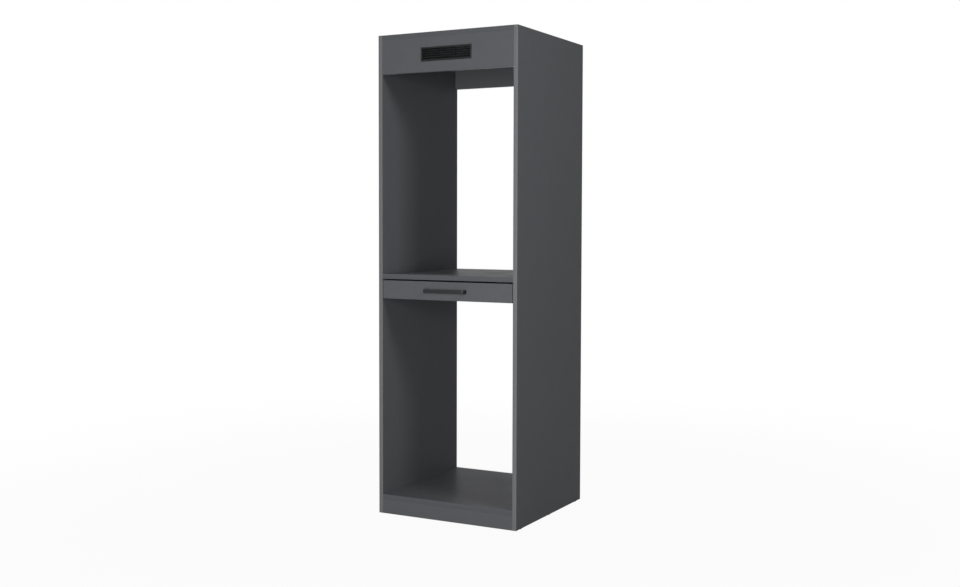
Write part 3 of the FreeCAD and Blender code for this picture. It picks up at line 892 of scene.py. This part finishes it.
@dataclass
class Louvres(Pattern):
    """The blades of the grille: flat bars with rounded long edges."""

    span: Mm
    depth: Mm = Mm(12.0)
    thickness: Mm = Mm(1.8)
    rounding: Mm = Mm(0.8)
    steps: int = 4

    def shape(self, tree: Tree, size: Sizes) -> Node:
        """One blade along X round the origin, its flat sides up and down.

        Args:
            tree: The pattern's tree.
            size: The sockets of the named sizes.

        Returns:
            The node of the blade.
        """
        section = add_node(tree, "GeometryNodeCurvePrimitiveQuadrilateral",
                           {"Width": size["depth"], "Height": size["thickness"]})
        rounded = add_node(tree, "GeometryNodeFilletCurve", {
            "Curve": section, "Count": size["steps"], "Radius": size["rounding"],
        }, mode="POLY")
        ends = []
        for share in (-0.5, 0.5):
            x = add_node(tree, "ShaderNodeMath", {0: size["span"], 1: share}, operation="MULTIPLY")
            ends.append(add_node(tree, "ShaderNodeCombineXYZ", {"X": x}))
        line = add_node(tree, "GeometryNodeCurvePrimitiveLine", {"Start": ends[0], "End": ends[1]})
        return add_node(tree, "GeometryNodeCurveToMesh",
                        {"Curve": line, "Profile Curve": rounded, "Fill Caps": True})


@dataclass(frozen=True)
class Drilling:
    """A round hole from a point, along a way, of a radius and a length in metres."""

    start: Vector
    way: Vector
    radius: float
    length: float

    @property
    def box(self) -> Box:
        """The block round the hole."""
        spread = Vector([self.radius * (1 - abs(c)) for c in self.way])
        return Box.around([self.start, self.start + self.way * self.length]).grown(spread)

    def add_plug(self, shape: Shape, sides: int) -> None:
        """Adds the plug that cuts the hole to a shape.

        Args:
            shape: The shape that collects the plugs.
            sides: The plug's number of sides.
        """
        turn = UP.rotation_difference(self.way).to_matrix().to_4x4()
        middle = Matrix.Translation(self.start + self.way * (self.length / 2))
        bmesh.ops.create_cone(shape, cap_ends=True, segments=sides, radius1=self.radius,
                              radius2=self.radius, depth=self.length, matrix=middle @ turn)


@dataclass(frozen=True)
class Board:
    """A faced board with its drillings, its core raw where neither facing nor edging covers it.

    The faces lie across one axis. The edged ways are those in which the board has edging of its own.
    """

    node: str
    across: Axis
    edged: tuple[Vector, ...] = ()
    chamfer: Mm = Mm(0.4)
    hole_sides: int = 32
    # A face is covered if it lies within so many chamfers of a covered side, and if so much of its
    # normal looks that way
    near: float = 1.5
    facing: float = 0.6

    def build(self, drillings: Sequence[Drilling], windows: Sequence[Box] = ()) -> None:
        """Makes the board, drills it and dresses its faces.

        Args:
            drillings: Holes of the whole cabinet, of which it takes those that reach it.
            windows: Blocks that are cut out of it.
        """
        box = Box.of(self.node)
        shape = bmesh.new()
        box.add_to(shape)
        bevel(shape, shape.edges[:], self.chamfer)
        board = to_object(self.node + "_board", shape)
        plugs = bmesh.new()
        for drilling in drillings:
            if drilling.box.meets(box):
                drilling.add_plug(plugs, self.hole_sides)
        for window in windows:
            window.add_to(plugs)
        cutter = to_object(self.node + "_plugs", plugs)
        cut = board.modifiers.new("drilled", "BOOLEAN")
        cut.object = cutter
        cut.solver = "EXACT"
        cut.use_self = True
        baked(board)
        bpy.data.objects.remove(cutter)
        self.dress(board, box)
        settle(board, MELAMINE, self.node)

    def dress(self, board: Piece, box: Box) -> None:
        """Puts the decor on the faces and the edging, and the raw core on the rest.

        Args:
            board: The drilled board.
            box: The board's block.
        """
        board.data.materials.clear()
        for finish in (MELAMINE, CHIPBOARD):
            board.data.materials.append(finish.material())
        rim = self.near * self.chamfer * MM
        covered = (self.across.way, -self.across.way, *self.edged)
        planes = [(way, box.reach(way) - rim) for way in covered]
        for polygon in board.data.polygons:
            looks, at = polygon.normal, polygon.center
            decor = any(looks.dot(way) > self.facing and at.dot(way) > plane for way, plane in planes)
            polygon.material_index = 0 if decor else 1


@dataclass(frozen=True)
class EdgeBand:
    """Edging on the edge of a board, with its two outer corners rounded."""

    rounding: Mm = Mm(0.8)
    steps: int = 3

    def add(self, shape: Shape, box: Box, away: Vector) -> None:
        """Adds one band to a shape.

        Args:
            shape: The shape that collects the bands of a node.
            box: The band's block.
            away: The way in which the band looks.
        """
        outer = {v for v in box.add_to(shape) if abs(v.co.dot(away) - box.reach(away)) < WELD}
        edges = [e for e in shape.edges if outer.issuperset(e.verts)]
        longest = max(e.calc_length() for e in edges)
        bevel(shape, [e for e in edges if e.calc_length() > longest - WELD], self.rounding, self.steps)

    def build(self, node: str, strips: Sequence[tuple[Box, Vector]], finish: Finish) -> None:
        """Makes all the bands of a node, as one piece.

        Args:
            node: The node that they stand for.
            strips: The block of each band and the way in which it looks.
            finish: Their finish.
        """
        shape = bmesh.new()
        for box, away in strips:
            self.add(shape, box, away)
        settle(smoothed(to_object(node + "_edging", shape)), finish, node)


@dataclass
class Fasteners:
    """The cams, bolts, dowels, screws and glides, and the holes that they need in the boards."""

    # How much larger a hole is than what it holds, and how far its plug stands out of an open face
    fit: Mm = Mm(0.1)
    past: Mm = Mm(0.5)
    drillings: list[Drilling] = field(default_factory=list)

    def bore(self, start: Vector, way: Vector, radius: float, length: float) -> None:
        """Notes a hole with its fit."""
        fit = self.fit * MM
        self.drillings.append(Drilling(start - way * fit, way, radius + fit, length + 2 * fit))

    def bore_through(self, start: Vector, way: Vector, radius: float, length: float) -> None:
        """Notes a hole that starts and ends in the open."""
        past = self.past * MM
        self.bore(start - way * past, way, radius, length + 2 * past)

    def mouth_of(self, node: str, housing: Box) -> Vector:
        """Finds the way in which a cam housing's mouth looks.

        On the pull-out it looks to the middle. Boards that lie flat have their cams underneath, and
        upright ones have them behind.

        Args:
            node: The housing's node.
            housing: The housing's block.

        Returns:
            The way, of length 1.
        """
        if node == "pullout_cams":
            return RIGHT if housing.centre.x < 0 else -RIGHT
        lying = any(Box.of(name).holds(housing.centre) for name in FLAT_BOARDS)
        return -UP if lying else BACK

    def cams(self, node: str, bolts: str) -> None:
        """Makes the cam housings of a node, each with its mouth at the board's face.

        Args:
            node: The node of the housings, which are all alike.
            bolts: The node of their bolts, which each housing's bore meets.
        """
        shafts = solids(bolts)
        past = self.past * MM
        places = []
        for box in solids(node):
            shaft = min(shafts, key=lambda s: (s.centre - box.centre).length)
            into = shaft.run if shaft.run.dot(shaft.centre - box.centre) > 0 else -shaft.run
            facing = self.mouth_of(node, box)
            depth = abs(box.size.dot(facing))
            radius = abs(box.size.dot(into)) / 2
            mouth = box.centre + facing * (depth / 2)
            places.append(Place(mouth, facing, into))
            self.bore(mouth + facing * past, -facing, radius, depth + past)
        Cams(CAST_ZINC, radius=Mm(radius / MM), depth=Mm(depth / MM)).stand_for(node, places)

    def bolts(self, node: str, boards: Sequence[str]) -> None:
        """Makes the cam bolts of a node.

        Args:
            node: The node of the bolts.
            boards: The nodes of the boards that hold their threads.
        """
        holders = [Box.of(name) for name in boards]
        places = []
        for box in solids(node):
            reach = box.size.dot(box.run)
            far = box.centre + box.run * (reach / 2)
            facing = -box.run if any(holder.holds(far) for holder in holders) else box.run
            radius = min(box.size) / 2
            places.append(Place(box.centre + facing * (reach / 2 - radius), facing, UP))
            self.bore(box.centre - box.run * (reach / 2), box.run, radius, reach)
        pattern = Screws(ZINC_SCREW, head=Mm(3.3), head_top=Mm(2.4), head_height=Mm(3.0), slot=Mm(0.8),
                         shank=Mm(2.8), core=Mm(2.2), length=Mm(41.0), thread=Mm(9.0), turns=4.0)
        pattern.stand_for(node, places)

    def dowels(self, node: str) -> None:
        """Makes the dowels of a node.

        Args:
            node: The node of the dowels.
        """
        places = []
        for box in solids(node):
            run = box.run
            reach = box.size.dot(run)
            radius = max(box.size.dot(way) for way in (RIGHT, BACK, UP) if way != run) / 2
            places.append(Place(box.centre, run, BACK if run == UP else UP))
            self.bore(box.centre - run * (reach / 2), run, radius, reach)
        Dowels(BEECH).stand_for(node, places)

    def screws(self, node: str, pattern: Screws, heads: Vector) -> None:
        """Makes the screws of a node.

        Args:
            node: The node of the screws.
            pattern: The shape and sizes of the screw.
            heads: The way the heads on the left look, which those on the right mirror.
        """
        places = []
        for box in solids(node):
            facing = heads if box.centre.x < 0 else heads.reflect(RIGHT)
            reach = abs(box.size.dot(facing))
            seat = box.centre + facing * (reach / 2 - pattern.head_height * MM)
            places.append(Place(seat, facing, UP))
            self.bore(seat, -facing, pattern.shank * MM, pattern.length * MM)
        pattern.stand_for(node, places)

    def glides(self, node: str) -> None:
        """Makes the glides under the sides.

        Args:
            node: The node of the glides.
        """
        pattern = Glides(BLACK_PLASTIC)
        places = []
        for box in solids(node):
            foot = Vector((box.centre.x, box.centre.y, box.low.z))
            places.append(Place(foot, UP, RIGHT))
            nail_from = foot + UP * (pattern.taper + pattern.button) * MM
            self.bore(nail_from, UP, pattern.nail * MM, pattern.nail_length * MM)
        pattern.stand_for(node, places)


@dataclass
class Carcass:
    """The sides, the boards and rails between them, and their edge bands."""

    fasteners: Fasteners
    wall_hole: Mm = Mm(3.0)
    wall_hole_pitch: Mm = Mm(400.0)
    wall_hole_drop: Mm = Mm(45.0)

    def build(self, grille_window: Box) -> None:
        """Makes the carcass.

        Args:
            grille_window: The block that the grille needs in the fascia.
        """
        made = self.fasteners
        made.cams("cam_housings", "cam_bolts")
        made.bolts("cam_bolts", SIDE_PANELS)
        made.dowels("wooden_dowels")
        made.glides("floor_glides")
        rail = Box.of("rear_top_rail")
        height = rail.high.z - self.wall_hole_drop * MM
        for side in Side:
            start = Vector((side.value * self.wall_hole_pitch * MM / 2, rail.low.y, height))
            made.bore_through(start, BACK, self.wall_hole * MM, rail.size.y)
        for name in SIDE_PANELS:
            Board(name, Axis.X, (UP,)).build(made.drillings)
        for name in FLAT_BOARDS:
            Board(name, Axis.Z).build(made.drillings)
        for name in UPRIGHT_BOARDS:
            windows = [grille_window] if name == "top_fascia" else []
            Board(name, Axis.Y).build(made.drillings, windows)
        self.bands()

    def bands(self) -> None:
        """Makes the edge bands."""
        band = EdgeBand()
        for side in Side:
            node = side.word + "_edge_band"
            band.build(node, [(Box.of(node), -BACK)], EDGING_UPRIGHT_PAINTED_LIGHTER)
        for node, away in (("board_edge_bands", -BACK), ("rail_edge_bands", -UP)):
            band.build(node, [(box, away) for box in solids(node)], EDGING_ACROSS_PAINTED_DARKER)


@dataclass
class VentGrille:
    """The black grille in the fascia: a flange, a collar, blades and ribs, moulded in one."""

    node: str = "vent_grille"
    flange_w: Mm = Mm(6.0)
    flange_t: Mm = Mm(2.0)
    wall: Mm = Mm(2.0)
    fit: Mm = Mm(0.4)
    past: Mm = Mm(5.0)
    rim: Mm = Mm(0.9)
    rim_steps: int = 3
    blades: int = 5
    blade_tilt: float = math.radians(38)
    ribs: int = 2
    rib_t: Mm = Mm(2.0)
    rib_edge: Mm = Mm(0.3)

    # The corners of a rectangle in turn, as shares of its half width and half height
    CORNERS: ClassVar = ((-1, -1), (1, -1), (1, 1), (-1, 1))

    def window(self) -> Box:
        """The block that the collar needs in the fascia."""
        inset = self.flange_w - self.wall - self.fit
        return Box.of(self.node).grown(Vector((-inset, self.past, -inset)) * MM)

    def build(self) -> None:
        """Makes the grille."""
        box = Box.of(self.node)
        inner = box.grown(Vector((-self.flange_w, 0, -self.flange_w)) * MM)
        shape = bmesh.new()
        self.add_shell(shape, box)
        self.add_ribs(shape, box, inner)
        blades = self.louvres(box, inner)
        shape.from_mesh(blades.data)
        bpy.data.objects.remove(blades)
        settle(smoothed(to_object("vent_grille_moulding", shape)), BLACK_PLASTIC, self.node)

    def add_shell(self, shape: Shape, box: Box) -> None:
        """Adds the flange with its rounded rim, and the collar.

        Args:
            shape: The shape that gets them.
            box: The grille's block.
        """
        front = box.low.y
        seat = front + self.flange_t * MM
        rim = self.rim * MM
        mouth = self.flange_w * MM
        outside = mouth - self.wall * MM
        # From the outer seat over the rounded rim into the mouth, and back along the collar
        rounded = [(rim * a, front + rim * b) for a, b in quarter_arc(self.rim_steps)]
        outline = [(0.0, seat), *rounded]
        outline += [(mouth - inset, y) for inset, y in reversed(rounded)]
        outline += [(mouth, box.high.y), (outside, box.high.y), (outside, seat)]
        loops = []
        for inset, y in outline:
            x, z = box.size.x / 2 - inset, box.size.z / 2 - inset
            loops.append([shape.verts.new((box.centre.x + sx * x, y, box.centre.z + sz * z))
                          for sx, sz in self.CORNERS])
        for loop, after in zip(loops, loops[1:] + loops[:1]):
            for i in range(len(loop)):
                shape.faces.new((loop[i - 1], loop[i], after[i], after[i - 1]))

    def add_ribs(self, shape: Shape, box: Box, inner: Box) -> None:
        """Adds the upright ribs behind the blades, which end in the collar.

        Args:
            shape: The shape that gets them.
            box: The grille's block.
            inner: The block inside the flange.
        """
        side, end = self.rib_t * MM / 2, self.wall * MM / 2
        for i in range(self.ribs):
            x = inner.low.x + inner.size.x * (i + 1) / (self.ribs + 1)
            low = Vector((x - side, box.centre.y, inner.low.z - end))
            high = Vector((x + side, box.high.y, inner.high.z + end))
            corners = Box(low, high).add_to(shape)
            bevel(shape, [e for e in shape.edges if corners.issuperset(e.verts)], self.rib_edge)

    def louvres(self, box: Box, inner: Box) -> Piece:
        """Makes the blades, which slope down to the front.

        Args:
            box: The grille's block.
            inner: The block inside the flange.

        Returns:
            The blades.
        """
        facing = Vector((0, -math.sin(self.blade_tilt), math.cos(self.blade_tilt)))
        pattern = Louvres(BLACK_PLASTIC, span=Mm(inner.size.x / MM + self.wall))
        y = box.low.y + self.flange_t * MM + pattern.depth * MM * math.cos(self.blade_tilt) / 2
        pitch = inner.size.z / self.blades
        heights = [inner.low.z + pitch * (i + 0.5) for i in range(self.blades)]
        places = [Place(Vector((0, y, z)), facing, RIGHT) for z in heights]
        return pattern.scatter("vent_grille_blades", places)


@dataclass
class BowHandle:
    """A bow handle of flat bar, with rounded corners and softened edges."""

    node: str = "pullout_handle"
    leg: Mm = Mm(8.0)
    bar: Mm = Mm(8.0)
    outer_r: Mm = Mm(8.0)
    inner_r: Mm = Mm(4.0)
    edge_r: Mm = Mm(1.4)
    arc_steps: int = 10
    edge_steps: int = 4

    def half_outline(self, box: Box) -> list[tuple[float, float]]:
        """Follows the right half of the bow, from the middle of its front round to its inside.

        Args:
            box: The handle's block.

        Returns:
            Points of X and Y.
        """
        half = box.size.x / 2
        inside = half - self.leg * MM
        front, seat = box.low.y, box.high.y
        back = front + self.bar * MM
        arc = quarter_arc(self.arc_steps)
        outer, inner = self.outer_r * MM, self.inner_r * MM
        points = [(half - outer * b, front + outer * a) for a, b in arc]
        points += [(half, seat), (inside, seat)]
        points += [(inside - inner * a, back + inner * b) for a, b in arc]
        return points

    def build(self) -> None:
        """Makes the handle."""
        box = Box.of(self.node)
        right = self.half_outline(box)
        left = [(-x, y) for x, y in reversed(right)]
        shape = bmesh.new()
        bottom = shape.faces.new([shape.verts.new((x, y, box.low.z)) for x, y in right + left])
        grown = bmesh.ops.extrude_face_region(shape, geom=[bottom])
        raised = [v for v in grown["geom"] if isinstance(v, bmesh.types.BMVert)]
        bmesh.ops.translate(shape, verts=raised, vec=UP * box.size.z)
        bmesh.ops.recalc_face_normals(shape, faces=shape.faces)
        seat = box.high.y - WELD
        rims = []
        for edge in shape.edges:
            one, other = (v.co for v in edge.verts)
            if abs(one.z - other.z) < WELD and min(one.y, other.y) < seat:
                rims.append(edge)
        bevel(shape, rims, self.edge_r, self.edge_steps)
        settle(smoothed(to_object("pullout_bow_handle", shape)), POWDER_COAT, self.node)


@dataclass
class PullOut:
    """The pull-out: its front, board and cleats, their bands and fasteners, and the handle."""

    fasteners: Fasteners
    handle: BowHandle

    def build(self) -> None:
        """Makes the pull-out."""
        made = self.fasteners
        made.cams("pullout_cams", "pullout_cam_bolts")
        made.bolts("pullout_cam_bolts", ["pullout_front"])
        made.dowels("pullout_dowels")
        machine_screw = Screws(
            ZINC_SCREW, head=Mm(4.0), head_top=Mm(3.0), head_height=Mm(2.6), slot=Mm(1.0), shank=Mm(2.0),
            core=Mm(1.65), length=Mm(27.0), thread=Mm(25.0), ridge=Mm(0.25), turns=24.0, sides=20)
        made.screws("handle_screws", machine_screw, BACK)
        Board("pullout_front", Axis.Y).build(made.drillings)
        Board("pullout_board", Axis.Z, (RIGHT, -RIGHT, BACK)).build(made.drillings)
        for side in Side:
            Board("pullout_%s_cleat" % side.word, Axis.X, (-UP,)).build(made.drillings)
        Board("pullout_rear_cleat", Axis.Y, (-UP,)).build(made.drillings)
        self.bands()
        self.handle.build()

    def bands(self) -> None:
        """Makes the four bands round the front: the long ones run over the short ones."""
        node = "pullout_edge_bands"
        whole, front = Box.of(node), Box.of("pullout_front")
        low, high = whole.low, whole.high
        strips = [
            (Box(low, Vector((high.x, high.y, front.low.z))), -UP),
            (Box(Vector((low.x, low.y, front.high.z)), high), UP),
            (Box(Vector((low.x, low.y, front.low.z)), Vector((front.low.x, high.y, front.high.z))), -RIGHT),
            (Box(Vector((front.high.x, low.y, front.low.z)), Vector((high.x, high.y, front.high.z))), RIGHT),
        ]
        EdgeBand().build(node, strips, EDGING_ACROSS_PAINTED_DARKER)


@dataclass
class BallSlide:
    """One telescopic slide: three members of rolled strip, and cages with balls between them."""

    side: Side
    flat_below: float = math.radians(0.5)

    ROLLED: ClassVar = ("slide_outer", "slide_middle", "slide_inner", "outer_cage", "inner_cage")
    ROWS: ClassVar = ("outer_balls", "inner_balls")

    def build(self) -> None:
        """Makes the slide."""
        for part in self.ROLLED:
            node = "%s_%s" % (self.side.word, part)
            settle(self.rolled(node), ZINC_STEEL, node)
        for row in self.ROWS:
            node = "%s_%s" % (self.side.word, row)
            Balls(BALL_STEEL).stand_for(node, [Place(box.centre, UP, RIGHT) for box in solids(node)])

    def rolled(self, node: str) -> Piece:
        """Takes a member's form from the frame, joined up and smooth round its races.

        Args:
            node: The member's node.

        Returns:
            The member.
        """
        shape = welded(node)
        bmesh.ops.dissolve_limit(shape, angle_limit=self.flat_below, verts=shape.verts, edges=shape.edges)
        return smoothed(to_object(node + "_rolled", shape))


@dataclass(frozen=True)
class Softbox:
    """A square lamp: its place and width in metres, its power in watts, and if gloss shows it."""

    name: str
    place: tuple[float, float, float]
    width: float
    power: float
    mirrored: bool = True

    def hang(self, target: Vector) -> None:
        """Hangs the lamp so that it points at a target.

        Args:
            target: The point that it lights.
        """
        light = bpy.data.lights.new(self.name, "AREA")
        light.shape = "SQUARE"
        light.size = self.width
        light.energy = self.power
        lamp = new_object(self.name, light)
        lamp.location = self.place
        lamp.visible_camera = False
        lamp.visible_glossy = self.mirrored
        lamp.rotation_euler = (target - lamp.location).to_track_quat("-Z", "Y").to_euler()


@dataclass
class Studio:
    """The pale floor, the soft light and the camera."""

    photo_width: int = 960
    focal_px: float = 1201.0
    shift_px: float = 13.0
    yaw: float = math.radians(28.2245)
    pitch: float = math.radians(2.848)
    roll: float = math.radians(0.1297)
    stand: tuple[Mm, Mm, Mm] = (Mm(2535.5), Mm(-4734.5), Mm(1291.0))
    sensor: Mm = Mm(36.0)
    floor_r: Mm = Mm(14000.0)
    floor_sides: int = 96
    floor_shade: str = "#a0a09e"
    # The floor is this white near the cabinet, where it keeps the shadow, and plain white further out
    white: float = 0.95
    white_from: Mm = Mm(1200.0)
    plain_from: Mm = Mm(4000.0)
    ambient: float = 0.155
    softboxes: tuple[Softbox, ...] = (
        Softbox("front_softbox", (1.05, -4.2, 1.25), 1.9, 139.0),
        Softbox("right_softbox", (3.1, -1.25, 3.0), 0.8, 44.0),
        Softbox("back_softbox", (-0.6, 4.2, 2.6), 1.6, 14.0),
        Softbox("low_back_softbox", (-1.9, 4.0, 0.5), 1.0, 75.0, mirrored=False),
        Softbox("left_softbox", (-3.7, 0.3, 1.3), 1.4, 60.0),
        Softbox("top_softbox", (-0.3, 0.5, 4.7), 1.2, 40.0, mirrored=False),
    )

    def build(self) -> None:
        """Makes the studio."""
        self.floor()
        self.sky()
        for softbox in self.softboxes:
            softbox.hang((CAD_BOX[0] + CAD_BOX[1]) / 2)
        self.camera()
        bpy.context.scene.view_settings.view_transform = "Standard"

    def seen(self, tree: Tree) -> Node:
        """Tells camera, glossy and transmission rays from those that light the object.

        Args:
            tree: The tree of the floor or the sky.

        Returns:
            A node that gives 1 for rays that show the background.
        """
        path = add_node(tree, "ShaderNodeLightPath").outputs
        mirrored = add_node(tree, "ShaderNodeMath",
                            {0: path["Is Glossy Ray"], 1: path["Is Transmission Ray"]}, operation="MAXIMUM")
        return add_node(tree, "ShaderNodeMath", {0: path["Is Camera Ray"], 1: mirrored}, operation="MAXIMUM")

    def floor(self) -> None:
        """Lays a round floor that looks nearly white and keeps the shadow."""
        shape = bmesh.new()
        bmesh.ops.create_circle(shape, cap_ends=True, segments=self.floor_sides, radius=self.floor_r * MM)
        floor = to_object("studio_floor", shape)
        paint = bpy.data.materials.new("matt_pale_floor")
        paint.use_nodes = True
        tree = paint.node_tree
        tree.nodes.clear()
        matt = add_node(tree, "ShaderNodeBsdfDiffuse", {"Color": linear(self.floor_shade)})
        glow = add_node(tree, "ShaderNodeEmission", {"Strength": 1.0})
        place = add_node(tree, "ShaderNodeTexCoord")
        reach = add_node(tree, "ShaderNodeVectorMath", {0: place.outputs["Object"]}, operation="LENGTH")
        fade = add_node(tree, "ShaderNodeMapRange", {
            "Value": reach.outputs["Value"], "To Min": self.white, "To Max": 1.0,
            "From Min": self.white_from * MM, "From Max": self.plain_from * MM,
        }, interpolation_type="SMOOTHSTEP")
        share = add_node(tree, "ShaderNodeMath", {0: fade, 1: self.seen(tree)}, operation="MULTIPLY")
        mix = add_node(tree, "ShaderNodeMixShader", {0: share, 1: matt, 2: glow})
        add_node(tree, "ShaderNodeOutputMaterial", {"Surface": mix})
        floor.data.materials.append(paint)

    def sky(self) -> None:
        """Makes the world an even light that is plain white where it is seen."""
        world = bpy.data.worlds.new("studio_sky")
        bpy.context.scene.world = world
        world.use_nodes = True
        tree = world.node_tree
        strength = add_node(tree, "ShaderNodeMapRange",
                            {"Value": self.seen(tree), "To Min": self.ambient, "To Max": 1.0})
        fill(tree, tree.nodes["Background"], {"Color": linear("#ffffff"), "Strength": strength})

    def camera(self) -> None:
        """Stands the camera where the photograph was taken, looking a little down."""
        lens = bpy.data.cameras.new("photo_camera")
        lens.sensor_width = self.sensor
        lens.lens = self.focal_px * self.sensor / self.photo_width
        lens.shift_y = -self.shift_px / self.photo_width
        camera = new_object("photo_camera", lens)
        camera.location = Vector(self.stand) * MM
        upright = Euler((QUARTER_TURN - self.pitch, 0.0, self.yaw)).to_matrix()
        camera.rotation_euler = (upright @ Matrix.Rotation(self.roll, 3, "Z")).to_euler()
        bpy.context.scene.camera = camera


def main() -> None:
    """Builds the cabinet and its studio."""
    logging.basicConfig(level=logging.INFO, format="%(name)s: %(message)s")
    fasteners = Fasteners()
    euro_screw = Screws(ZINC_SCREW)
    wood_screw = Screws(
        ZINC_SCREW, head=Mm(3.6), head_top=Mm(2.8), slot=Mm(0.8), shank=Mm(1.8), core=Mm(1.3),
        length=Mm(13.2), thread=Mm(11.0), ridge=Mm(0.3), turns=7.0, sides=24)
    fasteners.screws("slide_side_screws", euro_screw, RIGHT)
    fasteners.screws("slide_cleat_screws", wood_screw, -RIGHT)
    grille = VentGrille()
    Carcass(fasteners).build(grille.window())
    grille.build()
    PullOut(fasteners, BowHandle()).build()
    for side in Side:
        BallSlide(side).build()
    Studio().build()


if __name__ == "__main__":
    main()
